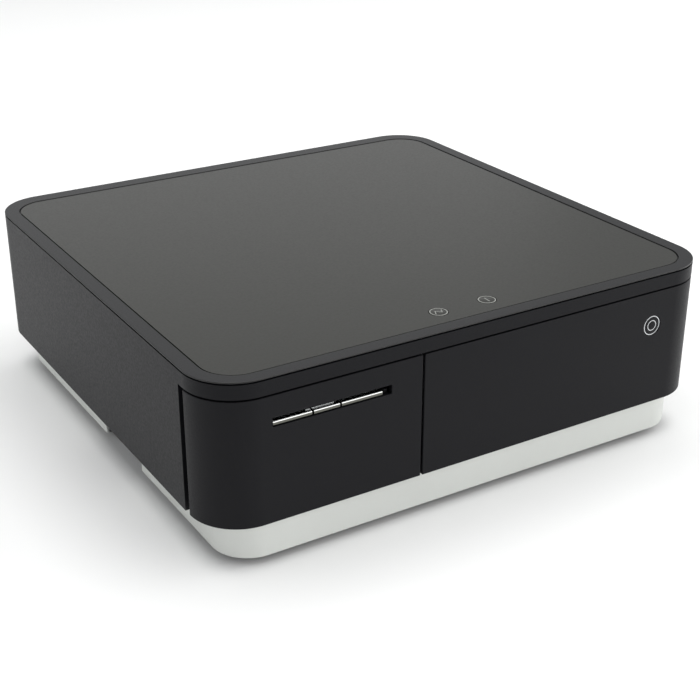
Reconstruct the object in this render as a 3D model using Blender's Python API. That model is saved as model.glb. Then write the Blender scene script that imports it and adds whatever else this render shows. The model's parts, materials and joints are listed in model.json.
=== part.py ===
"""Counter-top unit that holds a receipt printer and a cash drawer in one low case.

Metres, +Z up. The front faces -Y. The origin is the centre of the plan at table height.
The drawer is on the right, the printer with its slide-out cover on the left.
"""

import math

import bmesh
import bpy
from mathutils import Matrix, Vector

# ---------------------------------------------------------------- driving dimensions
# Clearances
GAP = 0.0003  # between pieces that lie against each other
FIT = 0.0005  # round pieces that drop into a hole or a tray
RUN = 0.0001  # radial play of a shaft in its bush

# Case
WIDTH = 0.300
DEPTH = 0.292
HEIGHT = 0.100
CORNER_R = 0.026
CASE_WALL = 0.0025
PANEL_WALL = 0.003
BAND_H = 0.0088  # fixed band above the two front panels, up to the top
PANEL_SEAM = 0.001  # gap above the two front panels
SPLIT = 0.0012
RETURN = 0.0005  # how far a front panel runs on behind its round corner
SIDE_SEAM = 0.0045
RIM = 0.0008  # edge thickness of the top cover
RIM_SEAM = 0.0007  # dark seam between the rim and the housing
COVER_T = 0.0030
FRAME_SIDE = 0.0087  # width of the ring around the top sheet
FRAME_FRONT = 0.0083
FRAME_REAR = 0.0103
SHEET_T = 0.0006
SHEET_DROP = 0.0003
SHEET_GAP = 0.0004

# Base
FOOT_H = 0.0044
FOOT_R = 0.009
BASE_H = 0.020
BASE_SIDE = 0.0096  # inset of the base behind the case, at the sides
BASE_FRONT = 0.004
BASE_REAR = 0.0085
BASE_R = 0.020
SKIRT_WALL = 0.0018
BASE_WALL = 0.0024
CHANNEL_BACK = 0.108  # front of the case to the cable channel that crosses the base
CHANNEL_W = 0.048
FOOT_INSET = 0.022
CHASSIS_T = 0.0012

# Buttons on the top
BUTTON_R = 0.00475
BUTTON_INSET = 0.0204
BUTTON_PITCH = 0.0293
BUTTON_MID_X = -0.00035
BUTTON_H = 0.0042
BUTTON_TRAVEL = 0.0005
BUTTON_BOARD_D = 0.018

# Drawer
SHEET_STEEL = 0.0012
SLIDE_SPACE = 0.009  # between the tray and the steel wall beside it
TRAY_WALL = 0.002
TRAY_DROP = 0.0042  # below the top of the front panels
TRAY_LIFT = 0.0021  # above the chassis plate
LATCH_SPACE = 0.0185  # between the tray and the rear wall
COIN_H = 0.030
COIN_DEPTH = 0.106
COIN_DROP = 0.002  # below the edge of the drawer tray
CUP_DEPTH = 0.027
CUP_WALL = 0.0022
CUP_COLUMNS = 4
CUP_ROWS = 2
CUP_ROUND = 0.011
LEDGE_W = 0.0035
DIVIDERS = 3
DIVIDER_T = 0.0016
DIVIDER_LEAN = math.radians(38)
DIVIDER_DROP = 0.0085  # below the edge of the drawer tray
DIVIDER_SHIFT = 0.45  # of a pitch, where the first divider stands
BADGE_R = 0.0055
BADGE_T = 0.0005
BADGE_INSET = 0.0405  # from the right side
BADGE_DROP = 0.0192  # below the top of the front panels

# Slides: section inside SLIDE_SPACE, measured from the steel wall
SLIDE_T = 0.001
SLIDE_OUTER_H = 0.030
SLIDE_OUTER_W = 0.0058
SLIDE_BALL = 0.0022
SLIDE_RISE = 0.0281  # middle of the slides above the chassis plate
SLIDE_INNER_W = 0.0056
SLIDE_SETBACK = 0.025  # behind the drawer front
SLIDE_END = 0.003  # ahead of the rear of the tray
SLIDE_OVERLAP = 0.060  # what stays engaged when the drawer is out
CAGE_LENGTH = 0.056

# Latch behind the drawer
LATCH_LEFT = 0.0165  # left of the middle of the tray
LATCH_W = 0.006
LATCH_T = 0.004
LATCH_NOSE = 0.002
LATCH_NOSE_DROP = 0.0045
LATCH_PIVOT_BACK = 0.013  # behind the tray
LATCH_ABOVE_MIDDLE = 0.00055  # pivot above the middle of the inner height
LATCH_PIN_R = 0.0015
EAR = 0.004  # bracket around the pin
THROAT = 0.006  # open space ahead of the bracket's ears
HOOK_DROP = 0.012  # strike below the pivot
HOOK_REACH = 0.006  # hook ahead of the pivot, and its tip below it
FLANGE_DROP = 0.008
SOLENOID_W = 0.016
SOLENOID_H = 0.018
PLUNGER_R = 0.002
PLUNGER_FORWARD = 0.008  # ahead of the pivot
PLUNGER_SINK = 0.003  # its top below the top of the coil
COIL_FRONT = 0.0045  # ahead of the plunger
SWITCH_RIGHT = 0.022  # middle of the drawer switch from the latch
SWITCH_SIZE = (0.012, 0.006, 0.0117)
SPRING_R = 0.006
SPRING_WIRE = 0.0006
SPRING_TURNS = 5
EJECTOR_RIGHT = 0.0405  # right of the middle of the tray

# Printer
PRINTER_LEFT = 0.033  # from the left side of the case to the paper
PAPER_W = 0.058
PRINTER_RIGHT = 0.0221  # from the paper to the seam between the two panels
PAPER_PLAY = 0.0013  # each side, in the bucket
BUCKET_WALL = 0.0022
BUCKET_RISE = 0.0043  # cheeks above the axis of the platen
BUCKET_LIFT = 0.0013  # above the chassis plate
BUCKET_FRONT = 0.0255  # room ahead of the roll
BUCKET_FRONT_LIFT = 0.003  # its floor above the middle of the runners
PAPER_WAY = 0.002  # below the platen
ROLL_R = 0.0270
COVER_TRAVEL = 0.090
PLATEN_R = 0.0055
PLATEN_BACK = 0.013  # axis behind the face of the front panels
PLATEN_BELOW_SLOT = 0.0026
SHAFT_R = 0.002
BUSH_WALL = 0.0015
MODULE = 0.001
BACKLASH = 0.00015
PLATEN_TEETH = 16
IDLER_TEETH = 24
MOTOR_TEETH = 10
GEAR_T = 0.004
GEAR_SPACE = 0.0013  # between the gears and the bucket
GEAR_DROP = math.radians(30)  # the pinion lies below the idler by this angle
MOTOR_R = 0.013
MOTOR_SHAFT_R = 0.001
MOTOR_HOLE_R = 0.0035
MOTOR_SPACE = 0.0015  # between the motor and the housing
RUNNER_H = 0.004
RUNNER_W = 0.0035
RUNNER_SETBACK = 0.004  # behind the panel
RUNNER_OVERLAP = 0.025  # what stays engaged when the cover is out
RUNNER_RISE = 0.0141  # middle of the runners above the chassis plate
GUIDE_PLAY = 0.0007
GUIDE_WEB = 0.0015
GUIDE_FLANGE = 0.002
GUIDE_DEPTH = 0.0026  # room beside a runner
HEAD_H = 0.008
HEAD_AHEAD = 0.006
HEAD_BEHIND = 0.010
FRAME_DROP = 0.0022  # print frame below the top of the front panels
FRAME_BEHIND_MOTOR = 0.006
TEAR_BAR_T = 0.0008
TEAR_BAR_DIP = 0.0006  # into the slot

# Paper slot in the printer cover and the bright bars in it
SLOT_MARGIN_LEFT = 0.0016  # beyond the paper
SLOT_MARGIN_RIGHT = 0.004
SLOT_DROP = 0.0112  # below the top of the front panels
SLOT_H = 0.0047
BAR_H = 0.0019
BAR_LIFT = 0.0008
BAR_BACK = 0.0004
BAR_SEAM = 0.001
BAR_ROUND = 0.45  # of its height
LEFT_BAR_W = 0.0203
LEVER_W = 0.0138
POCKET_W = 0.005  # free end of the slot, right of the bars
LEVER_DEPTH = 0.0057
LEVER_PIVOT_DROP = 0.0085
LEVER_HUB_R = 0.0014

# Boards and sockets
BOARD_T = 0.0016
BOARD_LIFT = 0.0061  # above the chassis plate
BOARD_SIDE = 0.012  # clear of the housing
BOARD_RIGHT = 0.008  # clear of the partition
BOARD_REAR = 0.006
BOARD_BEHIND_RUNNER = 0.036
SOCKET_DEPTH = 0.013
SOCKET_MOUTH = 0.0087
SOCKET_SHEET = 0.0006
INLET_MOUTH_R = 0.0032
SOCKETS = (  # name, middle from the end of the left round corner, width, height
    ("dc_inlet", 0.002, 0.0095, 0.011),
    ("usb_device_socket", 0.026, 0.012, 0.0108),
    ("usb_host_socket", 0.052, 0.0132, 0.0068),
)

# ---------------------------------------------------------------- derived planes
X1 = WIDTH / 2
Y1 = DEPTH / 2
BODY_Z = FOOT_H + BASE_H
BAND_Z = HEIGHT - BAND_H
PANEL_TOP = BAND_Z - PANEL_SEAM
HOUSING_TOP = HEIGHT - RIM - RIM_SEAM
PANEL_END = -Y1 + CORNER_R + RETURN
HOUSING_FRONT = PANEL_END + SIDE_SEAM
PANEL_BACK = -Y1 + PANEL_WALL
CHASSIS_INSET = PANEL_WALL + FIT
CHASSIS_Z = BODY_Z + GAP
FLOOR_Z = CHASSIS_Z + CHASSIS_T
BASE_X = X1 - BASE_SIDE
BASE_Y = (-Y1 + BASE_FRONT, Y1 - BASE_REAR)
CHANNEL_FRONT = -Y1 + CHANNEL_BACK
CHANNEL_REAR = CHANNEL_FRONT + CHANNEL_W
BUTTON_Y = -Y1 + BUTTON_INSET
PAPER_EDGES = (-X1 + PRINTER_LEFT, -X1 + PRINTER_LEFT + PAPER_W)
PAPER_X = sum(PAPER_EDGES) / 2
SPLIT_X = PAPER_EDGES[1] + PRINTER_RIGHT
PARTITION_X = (SPLIT_X - SPLIT / 2, SPLIT_X + SPLIT / 2)
INSIDE_REAR = Y1 - CASE_WALL
BRACKET_X = (X1 - CHASSIS_INSET - SHEET_STEEL, X1 - CHASSIS_INSET)
TRAY_X = (PARTITION_X[1] + SLIDE_SPACE, BRACKET_X[0] - SLIDE_SPACE)
TRAY_Y = (PANEL_BACK + GAP, INSIDE_REAR - LATCH_SPACE)
TRAY_Z = (FLOOR_Z + TRAY_LIFT, PANEL_TOP - TRAY_DROP)
TRAY_R = TRAY_X[1] - (X1 - CORNER_R)
TRAY_MIDDLE = sum(TRAY_X) / 2
COIN_LEDGE_Z = TRAY_Z[1] - COIN_DROP - COIN_H - GAP
SLIDE_Y = (PANEL_BACK + SLIDE_SETBACK, TRAY_Y[1] - SLIDE_END)
SLIDE_MID_Z = FLOOR_Z + SLIDE_RISE
DRAWER_TRAVEL = SLIDE_Y[1] - SLIDE_Y[0] - SLIDE_OVERLAP
LATCH_X = TRAY_MIDDLE - LATCH_LEFT
LATCH_Y = TRAY_Y[1] + LATCH_PIVOT_BACK
LATCH_Z = (FLOOR_Z + HEIGHT - COVER_T) / 2 + LATCH_ABOVE_MIDDLE
SLOT_LOW = PANEL_TOP - SLOT_DROP - SLOT_H
SLOT_X = (PAPER_EDGES[0] - SLOT_MARGIN_LEFT, PAPER_EDGES[1] + SLOT_MARGIN_RIGHT)
PLATEN_Y = -Y1 + PLATEN_BACK
PLATEN_Z = SLOT_LOW - PLATEN_BELOW_SLOT
BUCKET_HALF = PAPER_W / 2 + PAPER_PLAY
CHEEK = BUCKET_HALF + BUCKET_WALL
RUNNER_Z = FLOOR_Z + RUNNER_RISE
RUNNER_LENGTH = COVER_TRAVEL + RUNNER_OVERLAP
GEAR_X = (PAPER_X - CHEEK - GEAR_SPACE - GEAR_T, PAPER_X - CHEEK - GEAR_SPACE)
IDLER_MESH = MODULE * (PLATEN_TEETH + IDLER_TEETH) / 2 + BACKLASH
PINION_MESH = MODULE * (IDLER_TEETH + MOTOR_TEETH) / 2 + BACKLASH
IDLER_AXIS = (PLATEN_Y + IDLER_MESH, PLATEN_Z)
MOTOR_AXIS = (
    IDLER_AXIS[0] + PINION_MESH * math.cos(GEAR_DROP),
    IDLER_AXIS[1] - PINION_MESH * math.sin(GEAR_DROP),
)
FRAME_TOP = PANEL_TOP - FRAME_DROP
BOARD_Z = FLOOR_Z + BOARD_LIFT
SHEET_X = X1 - FRAME_SIDE
SHEET_Y = (-Y1 + FRAME_FRONT, Y1 - FRAME_REAR)
SHEET_R = CORNER_R - FRAME_SIDE
SHEET_TOP = HEIGHT - SHEET_DROP
CURVE_STEPS = 8

# ---------------------------------------------------------------- scene, materials, helpers
for old in list(bpy.data.objects):
    bpy.data.objects.remove(old, do_unlink=True)

parts = bpy.data.collections.new("receipt_printer_cash_drawer")
cutters = bpy.data.collections.new("cutters")
for collection in (parts, cutters):
    bpy.context.scene.collection.children.link(collection)


def material(name, hex_colour, roughness, metallic=0.0):
    """A Principled material from an sRGB hex colour."""
    made = bpy.data.materials.new(name)
    made.use_nodes = True
    shader = made.node_tree.nodes["Principled BSDF"]
    channels = [int(hex_colour[i : i + 2], 16) / 255 for i in (1, 3, 5)]
    linear = [c / 12.92 if c <= 0.04045 else ((c + 0.055) / 1.055) ** 2.4 for c in channels]
    shader.inputs["Base Color"].default_value = (*linear, 1.0)
    shader.inputs["Roughness"].default_value = roughness
    shader.inputs["Metallic"].default_value = metallic
    made.diffuse_color = (*linear, 1.0)
    return made


def place(name, mesh, finish):
    """Puts a mesh in the scene: a part when it has a finish, else a hidden cutter."""
    made = bpy.data.objects.new(name, mesh)
    if finish:
        parts.objects.link(made)
        made.data.materials.append(material(name, *finish))
    else:
        cutters.objects.link(made)
        made.hide_render = True
        made.display_type = "WIRE"
    return made


def block(name, x, y, z, finish=None, radius=0.0, along=2, keep=None, steps=CURVE_STEPS):
    """A box between pairs of limits. Edges along one axis are rounded where keep allows it."""
    low = Vector((min(x), min(y), min(z)))
    size = Vector((max(x), max(y), max(z))) - low
    centre = low + size / 2
    shape = bmesh.new()
    bmesh.ops.create_cube(shape, size=1.0, matrix=Matrix.Diagonal((*size, 1.0)))
    if radius:
        chosen = []
        for edge in shape.edges:
            run = edge.verts[1].co - edge.verts[0].co
            middle = (edge.verts[0].co + edge.verts[1].co) / 2
            if abs(run[along]) > 1e-6 and (keep is None or keep(middle)):
                chosen.append(edge)
        bmesh.ops.bevel(
            shape, geom=chosen, offset=radius, segments=steps, profile=0.5, affect="EDGES"
        )
    mesh = bpy.data.meshes.new(name)
    shape.to_mesh(mesh)
    shape.free()
    made = place(name, mesh, finish)
    made.location = centre
    return made


TURN_TO = {  # local +Z laid along X, Y or Z
    "X": Matrix(((0, 0, 1), (1, 0, 0), (0, 1, 0))).to_4x4(),
    "Y": Matrix(((1, 0, 0), (0, 0, -1), (0, 1, 0))).to_4x4(),
    "Z": Matrix.Identity(4),
}


def cylinder(name, axis, centre, radius, length, finish=None, sides=32):
    """A round bar about an axis, centred."""
    shape = bmesh.new()
    bmesh.ops.create_cone(
        shape, cap_ends=True, segments=sides, radius1=radius, radius2=radius, depth=length
    )
    bmesh.ops.transform(shape, matrix=TURN_TO[axis], verts=shape.verts)
    mesh = bpy.data.meshes.new(name)
    shape.to_mesh(mesh)
    shape.free()
    mesh.shade_smooth()
    mesh.set_sharp_from_angle(angle=math.radians(40))
    made = place(name, mesh, finish)
    made.location = centre
    return made


def extrusion(name, axis, loops, ends, finish=None, centre=(0.0, 0.0)):
    """A flat outline, with holes, run along an axis between two ends, as a mesh.

    Along X the outline's pairs are (y, z), along Y they are (x, z), along Z they are (x, y).
    """
    outline = bpy.data.curves.new(name, "CURVE")
    outline.dimensions = "2D"
    outline.fill_mode = "BOTH"
    outline.extrude = abs(ends[1] - ends[0]) / 2
    for loop in loops:
        spline = outline.splines.new("POLY")
        spline.points.add(len(loop) - 1)
        for point, (u, v) in zip(spline.points, loop):
            point.co = (u, v, 0.0, 1.0)
        spline.use_cyclic_u = True
    drawn = bpy.data.objects.new(name + "_outline", outline)
    cutters.objects.link(drawn)
    graph = bpy.context.evaluated_depsgraph_get()
    mesh = bpy.data.meshes.new_from_object(drawn.evaluated_get(graph))
    bpy.data.objects.remove(drawn)
    shape = bmesh.new()
    shape.from_mesh(mesh)
    bmesh.ops.remove_doubles(shape, verts=shape.verts, dist=1e-6)
    bmesh.ops.recalc_face_normals(shape, faces=shape.faces)
    bmesh.ops.transform(shape, matrix=TURN_TO[axis], verts=shape.verts)
    shape.to_mesh(mesh)
    shape.free()
    made = place(name, mesh, finish)
    middle = (ends[0] + ends[1]) / 2
    u, v = centre
    made.location = {"X": (middle, u, v), "Y": (u, middle, v), "Z": (u, v, middle)}[axis]
    return made


def combine(piece, tools, operation):
    for tool in tools:
        change = piece.modifiers.new(tool.name, "BOOLEAN")
        change.object = tool
        change.operation = operation
        change.solver = "EXACT"
    return piece


def cut(piece, *tools):
    return combine(piece, tools, "DIFFERENCE")


def join(piece, *tools):
    return combine(piece, tools, "UNION")


def circle(radius, sides=24):
    """The points of a round outline about the origin."""
    return [
        (radius * math.cos(2 * math.pi * i / sides), radius * math.sin(2 * math.pi * i / sides))
        for i in range(sides)
    ]


# Finishes: sRGB colour, roughness, metallic
BLACK = ("#232326", 0.55)
BLACK_INNER = ("#17171a", 0.7)
SATIN_GREY = ("#4a4a4a", 0.35)
RIM_BLACK = ("#2b2b2d", 0.4)
SILVER = ("#c9cbc7", 0.35, 0.6)
STEEL = ("#b4b7ba", 0.3, 1.0)
BRIGHT = ("#d5d7d9", 0.2, 1.0)
RUBBER = ("#1b1b1b", 0.9)
WHITE_PLASTIC = ("#d9d6c9", 0.5)
GREEN_BOARD = ("#1d5a3a", 0.5)
COPPER = ("#a5622f", 0.4, 1.0)


# ---------------------------------------------------------------- case
def build_case():
    """The moulded housing, its top cover with the inlaid sheet, and the chassis plate."""
    housing = block("body_housing", (-X1, X1), (-Y1, Y1), (BODY_Z, HOUSING_TOP), BLACK, CORNER_R)
    inner_x = X1 - CASE_WALL
    room = block(
        "housing_room",
        (-inner_x, inner_x),
        (-INSIDE_REAR, INSIDE_REAR),
        (BODY_Z - GAP, HEIGHT),
        radius=CORNER_R - CASE_WALL,
    )
    front = block(
        "housing_front_opening", (-WIDTH, WIDTH), (-DEPTH, HOUSING_FRONT), (0, BAND_Z)
    )
    cut(housing, room, front)
    for name, inset, width, height in SOCKETS:
        middle = -X1 + CORNER_R + inset
        low = BOARD_Z + BOARD_T
        window = block(
            name + "_window",
            (middle - width / 2 - FIT, middle + width / 2 + FIT),
            (INSIDE_REAR - FIT, Y1 + FIT),
            (low - FIT, low + height + FIT + GAP),
        )
        cut(housing, window)

    lip = CASE_WALL + RIM
    cover = block("top_cover", (-X1, X1), (-Y1, Y1), (HEIGHT - RIM, HEIGHT), RIM_BLACK, CORNER_R)
    body = block(
        "cover_body",
        (-X1 + lip, X1 - lip),
        (-Y1 + lip, Y1 - lip),
        (HEIGHT - COVER_T, HEIGHT - RIM / 2),
        radius=CORNER_R - lip,
    )
    bed_z = SHEET_TOP - SHEET_T - GAP
    bed = block(
        "cover_bed",
        (-SHEET_X - SHEET_GAP, SHEET_X + SHEET_GAP),
        (SHEET_Y[0] - SHEET_GAP, SHEET_Y[1] + SHEET_GAP),
        (bed_z, HEIGHT + GAP),
        radius=SHEET_R + SHEET_GAP,
    )
    join(cover, body)
    cut(cover, bed)
    sheet = block(
        "top_sheet", (-SHEET_X, SHEET_X), SHEET_Y, (SHEET_TOP - SHEET_T, SHEET_TOP),
        SATIN_GREY, SHEET_R,
    )
    for name, x in (("feed_button", BUTTON_MID_X - BUTTON_PITCH / 2),
                    ("power_button", BUTTON_MID_X + BUTTON_PITCH / 2)):
        hole = cylinder(name + "_hole", "Z", (x, BUTTON_Y, HEIGHT), BUTTON_R + GAP, 4 * COVER_T)
        cut(cover, hole)
        cut(sheet, hole)
        middle = SHEET_TOP - BUTTON_H / 2
        cylinder(name, "Z", (x, BUTTON_Y, middle), BUTTON_R, BUTTON_H, SATIN_GREY)

    block(
        "chassis_plate",
        (-X1 + CHASSIS_INSET, X1 - CHASSIS_INSET),
        (-Y1 + CHASSIS_INSET, Y1 - CHASSIS_INSET),
        (CHASSIS_Z, FLOOR_Z),
        STEEL,
        CORNER_R - CHASSIS_INSET,
    )
    block(
        "bay_partition",
        PARTITION_X,
        (PANEL_BACK + GAP, INSIDE_REAR - GAP),
        (FLOOR_Z + GAP, BAND_Z - PANEL_SEAM),
        STEEL,
    )
    block(
        "slide_bracket",
        BRACKET_X,
        (-Y1 + CORNER_R, Y1 - CORNER_R),
        (FLOOR_Z + GAP, BAND_Z - PANEL_SEAM),
        STEEL,
    )


# ---------------------------------------------------------------- base
def base_outline(name, inset, z, finish=None):
    """The plan of the base, made smaller all round by an inset."""
    return block(
        name,
        (-BASE_X + inset, BASE_X - inset),
        (BASE_Y[0] + inset, BASE_Y[1] - inset),
        z,
        finish,
        BASE_R - inset,
    )


def build_base():
    """Two black frames under the chassis, each with a bright skirt, and four rubber feet."""
    z = (FOOT_H, BODY_Z)
    tall = (0, HEIGHT)
    halves = (
        ("front", (CHANNEL_FRONT, DEPTH), CHANNEL_FRONT - BASE_WALL, BASE_Y[0] + FOOT_INSET),
        ("rear", (-DEPTH, CHANNEL_REAR), CHANNEL_REAR + BASE_WALL, BASE_Y[1] - FOOT_INSET),
    )
    skirt_room = base_outline("skirt_room", SKIRT_WALL, tall)
    frame_inset = SKIRT_WALL + GAP
    for half, away, inner_end, foot_y in halves:
        off = block(half + "_half_off", (-WIDTH, WIDTH), away, tall)
        skirt = base_outline("skirt_" + half, 0.0, z, SILVER)
        cut(skirt, skirt_room, off)
        frame = base_outline("base_frame_" + half, frame_inset, z, BLACK_INNER)
        cavity = base_outline(
            half + "_cavity", frame_inset + BASE_WALL, (FOOT_H - GAP, BODY_Z - BASE_WALL)
        )
        wall_off = block(
            half + "_wall_off",
            (-WIDTH, WIDTH),
            (inner_end, DEPTH if half == "front" else -DEPTH),
            tall,
        )
        cut(cavity, wall_off)
        cut(frame, off, cavity)
        for side, sign in (("left", -1), ("right", 1)):
            x = sign * (BASE_X - FOOT_INSET)
            boss = cylinder(
                f"{half}_{side}_boss",
                "Z",
                (x, foot_y, (FOOT_H + BODY_Z - BASE_WALL / 2) / 2),
                FOOT_R + BASE_WALL,
                BASE_H - BASE_WALL / 2,
                sides=24,
            )
            join(frame, boss)
            height = FOOT_H - GAP
            cylinder(
                f"foot_{half}_{side}", "Z", (x, foot_y, height / 2), FOOT_R, height, RUBBER, 24
            )


# ---------------------------------------------------------------- front panels
def front_panel(name, x, finish):
    """One of the two panels that wrap a front corner, with its lower edge at the base."""
    panel = block(name, (-X1, X1), (-Y1, Y1), (BODY_Z, PANEL_TOP), finish, CORNER_R)
    room = block(
        name + "_room",
        (-X1 + PANEL_WALL, X1 - PANEL_WALL),
        (-Y1 + PANEL_WALL, Y1 - PANEL_WALL),
        (0, HEIGHT),
        radius=CORNER_R - PANEL_WALL,
    )
    behind = block(name + "_behind", (-WIDTH, WIDTH), (PANEL_END, DEPTH), (0, HEIGHT))
    beside = block(name + "_beside", x, (-DEPTH, DEPTH), (0, HEIGHT))
    cut(panel, room, behind, beside)
    return panel


# ---------------------------------------------------------------- drawer
def build_drawer():
    """The drawer front, its tray, the lift-out coin tray, the note dividers and the badge."""
    front = front_panel("drawer_front", (-WIDTH, PARTITION_X[1]), BLACK)
    badge_x = X1 - BADGE_INSET
    badge_z = PANEL_TOP - BADGE_DROP
    seat = cylinder(
        "badge_seat", "Y", (badge_x, -Y1, badge_z), BADGE_R + GAP, 2 * (BADGE_T + 2 * GAP)
    )
    cut(front, seat)
    cylinder(
        "front_badge", "Y", (badge_x, -Y1 + GAP + BADGE_T / 2, badge_z), BADGE_R, BADGE_T, BRIGHT
    )

    def front_right(middle):
        return middle.x > 0 and middle.y < 0

    tray = block("drawer_tray", TRAY_X, TRAY_Y, TRAY_Z, BLACK_INNER, TRAY_R, keep=front_right)
    inner_x = (TRAY_X[0] + TRAY_WALL, TRAY_X[1] - TRAY_WALL)
    inner_y = (TRAY_Y[0] + TRAY_WALL, TRAY_Y[1] - TRAY_WALL)
    inner_r = TRAY_R - TRAY_WALL
    floor = TRAY_Z[0] + TRAY_WALL
    room = block("tray_room", inner_x, inner_y, (floor, HEIGHT), radius=inner_r, keep=front_right)
    cut(tray, room)
    ledge_y = (inner_y[0] + 2 * inner_r, inner_y[0] + COIN_DEPTH - inner_r)
    for side, wall, inward in (("left", inner_x[0], 1), ("right", inner_x[1], -1)):
        ledge = block(
            side + "_ledge",
            (wall - inward * TRAY_WALL / 2, wall + inward * LEDGE_W),
            ledge_y,
            (floor - TRAY_WALL / 2, COIN_LEDGE_Z),
        )
        join(tray, ledge)

    coin_x = (inner_x[0] + FIT, inner_x[1] - FIT)
    coin_y = (inner_y[0] + FIT, inner_y[0] + COIN_DEPTH)
    coin_z = (COIN_LEDGE_Z + GAP, COIN_LEDGE_Z + GAP + COIN_H)
    corner_r = inner_r - FIT
    coins = block("coin_tray", coin_x, coin_y, coin_z, BLACK, corner_r, keep=front_right)
    pitch_x = (coin_x[1] - coin_x[0] - CUP_WALL) / CUP_COLUMNS
    pitch_y = (coin_y[1] - coin_y[0] - CUP_WALL) / CUP_ROWS
    for row in range(CUP_ROWS):
        for column in range(CUP_COLUMNS):
            x0 = coin_x[0] + CUP_WALL + column * pitch_x
            y0 = coin_y[0] + CUP_WALL + row * pitch_y
            corner_cup = row == 0 and column == CUP_COLUMNS - 1
            y0_cup = y0 + corner_r * (1 - math.sqrt(0.5)) if corner_cup else y0
            cup = block(
                f"cup_{row + 1}_{column + 1}",
                (x0, x0 + pitch_x - CUP_WALL),
                (y0_cup, y0 + pitch_y - CUP_WALL),
                (coin_z[1] - CUP_DEPTH, coin_z[1] + CUP_ROUND),
                radius=CUP_ROUND,
                along=0,
                keep=lambda middle: middle.z < 0,
                steps=4,
            )
            cut(coins, cup)

    bay_y = (coin_y[1] + CUP_WALL, inner_y[1])
    pitch = (bay_y[1] - bay_y[0]) / (DIVIDERS + 1)
    foot_rise = DIVIDER_T * math.sin(DIVIDER_LEAN)
    rise = TRAY_Z[1] - DIVIDER_DROP - floor - GAP - 1.5 * foot_rise
    lean = rise * math.tan(DIVIDER_LEAN)
    divider_long = rise / math.cos(DIVIDER_LEAN)
    for index in range(DIVIDERS):
        divider = block(
            f"note_divider_{index + 1}",
            (-(inner_x[1] - inner_x[0]) / 2 + FIT, (inner_x[1] - inner_x[0]) / 2 - FIT),
            (-DIVIDER_T / 2, DIVIDER_T / 2),
            (-divider_long / 2, divider_long / 2),
            BLACK,
        )
        divider.location = (
            (inner_x[0] + inner_x[1]) / 2,
            bay_y[0] + pitch * (index + DIVIDER_SHIFT) + lean / 2,
            floor + GAP + foot_rise + rise / 2,
        )
        divider.rotation_euler.x = -DIVIDER_LEAN

    hook_low = LATCH_Z - HOOK_DROP
    hook_back = LATCH_Y - HOOK_REACH
    strike = block(
        "drawer_strike",
        (LATCH_X - LATCH_W / 2, LATCH_X + LATCH_W / 2),
        (TRAY_Y[1] + GAP, hook_back),
        (hook_low, hook_low + SHEET_STEEL),
        BRIGHT,
    )
    hook = block(
        "strike_hook",
        (LATCH_X - LATCH_W / 2, LATCH_X + LATCH_W / 2),
        (hook_back - SHEET_STEEL, hook_back),
        (hook_low, LATCH_Z - HOOK_REACH),
    )
    flange = block(
        "strike_flange",
        (LATCH_X - LATCH_W, LATCH_X + LATCH_W),
        (TRAY_Y[1] + GAP, TRAY_Y[1] + GAP + SHEET_STEEL),
        (hook_low - FLANGE_DROP, hook_low + SHEET_STEEL),
    )
    join(strike, hook, flange)


# ---------------------------------------------------------------- slides
def build_slides():
    """A ball slide on each side of the tray: fixed member, ball cage and moving member."""
    for side, wall, inward in (("left", PARTITION_X[1], 1), ("right", BRACKET_X[0], -1)):
        outer_h = SLIDE_OUTER_H / 2
        inner_h = outer_h - SLIDE_T - SLIDE_BALL - 2 * GAP
        tray_side = SLIDE_SPACE - GAP

        def channel(back, tip, height, thick):
            """A C section: its web is at back and its flanges reach to tip."""
            step = thick if tip > back else -thick
            return [
                (wall + inward * u, SLIDE_MID_Z + v)
                for u, v in (
                    (back, -height),
                    (tip, -height),
                    (tip, -height + thick),
                    (back + step, -height + thick),
                    (back + step, height - thick),
                    (tip, height - thick),
                    (tip, height),
                    (back, height),
                )
            ]

        extrusion(
            "slide_outer_" + side,
            "Y",
            [channel(GAP, SLIDE_OUTER_W, outer_h, SLIDE_T)],
            SLIDE_Y,
            STEEL,
        )
        extrusion(
            "slide_inner_" + side,
            "Y",
            [channel(tray_side, tray_side - SLIDE_INNER_W, inner_h, SLIDE_T)],
            SLIDE_Y,
            STEEL,
        )
        cage_back = SLIDE_T + 2 * GAP
        cage_t = tray_side - SLIDE_INNER_W - cage_back - GAP
        cage_h = outer_h - SLIDE_T - GAP
        loop = [
            (wall + inward * u, SLIDE_MID_Z + v)
            for u, v in (
                (cage_back, -cage_h),
                (SLIDE_OUTER_W - GAP, -cage_h),
                (SLIDE_OUTER_W - GAP, -inner_h - GAP),
                (cage_back + cage_t, -inner_h - GAP),
                (cage_back + cage_t, inner_h + GAP),
                (SLIDE_OUTER_W - GAP, inner_h + GAP),
                (SLIDE_OUTER_W - GAP, cage_h),
                (cage_back, cage_h),
            )
        ]
        open_front = SLIDE_Y[0] + DRAWER_TRAVEL / 2
        extrusion(
            "slide_cage_" + side,
            "Y",
            [loop],
            (open_front + GAP, open_front + CAGE_LENGTH),
            BRIGHT,
        )


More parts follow.
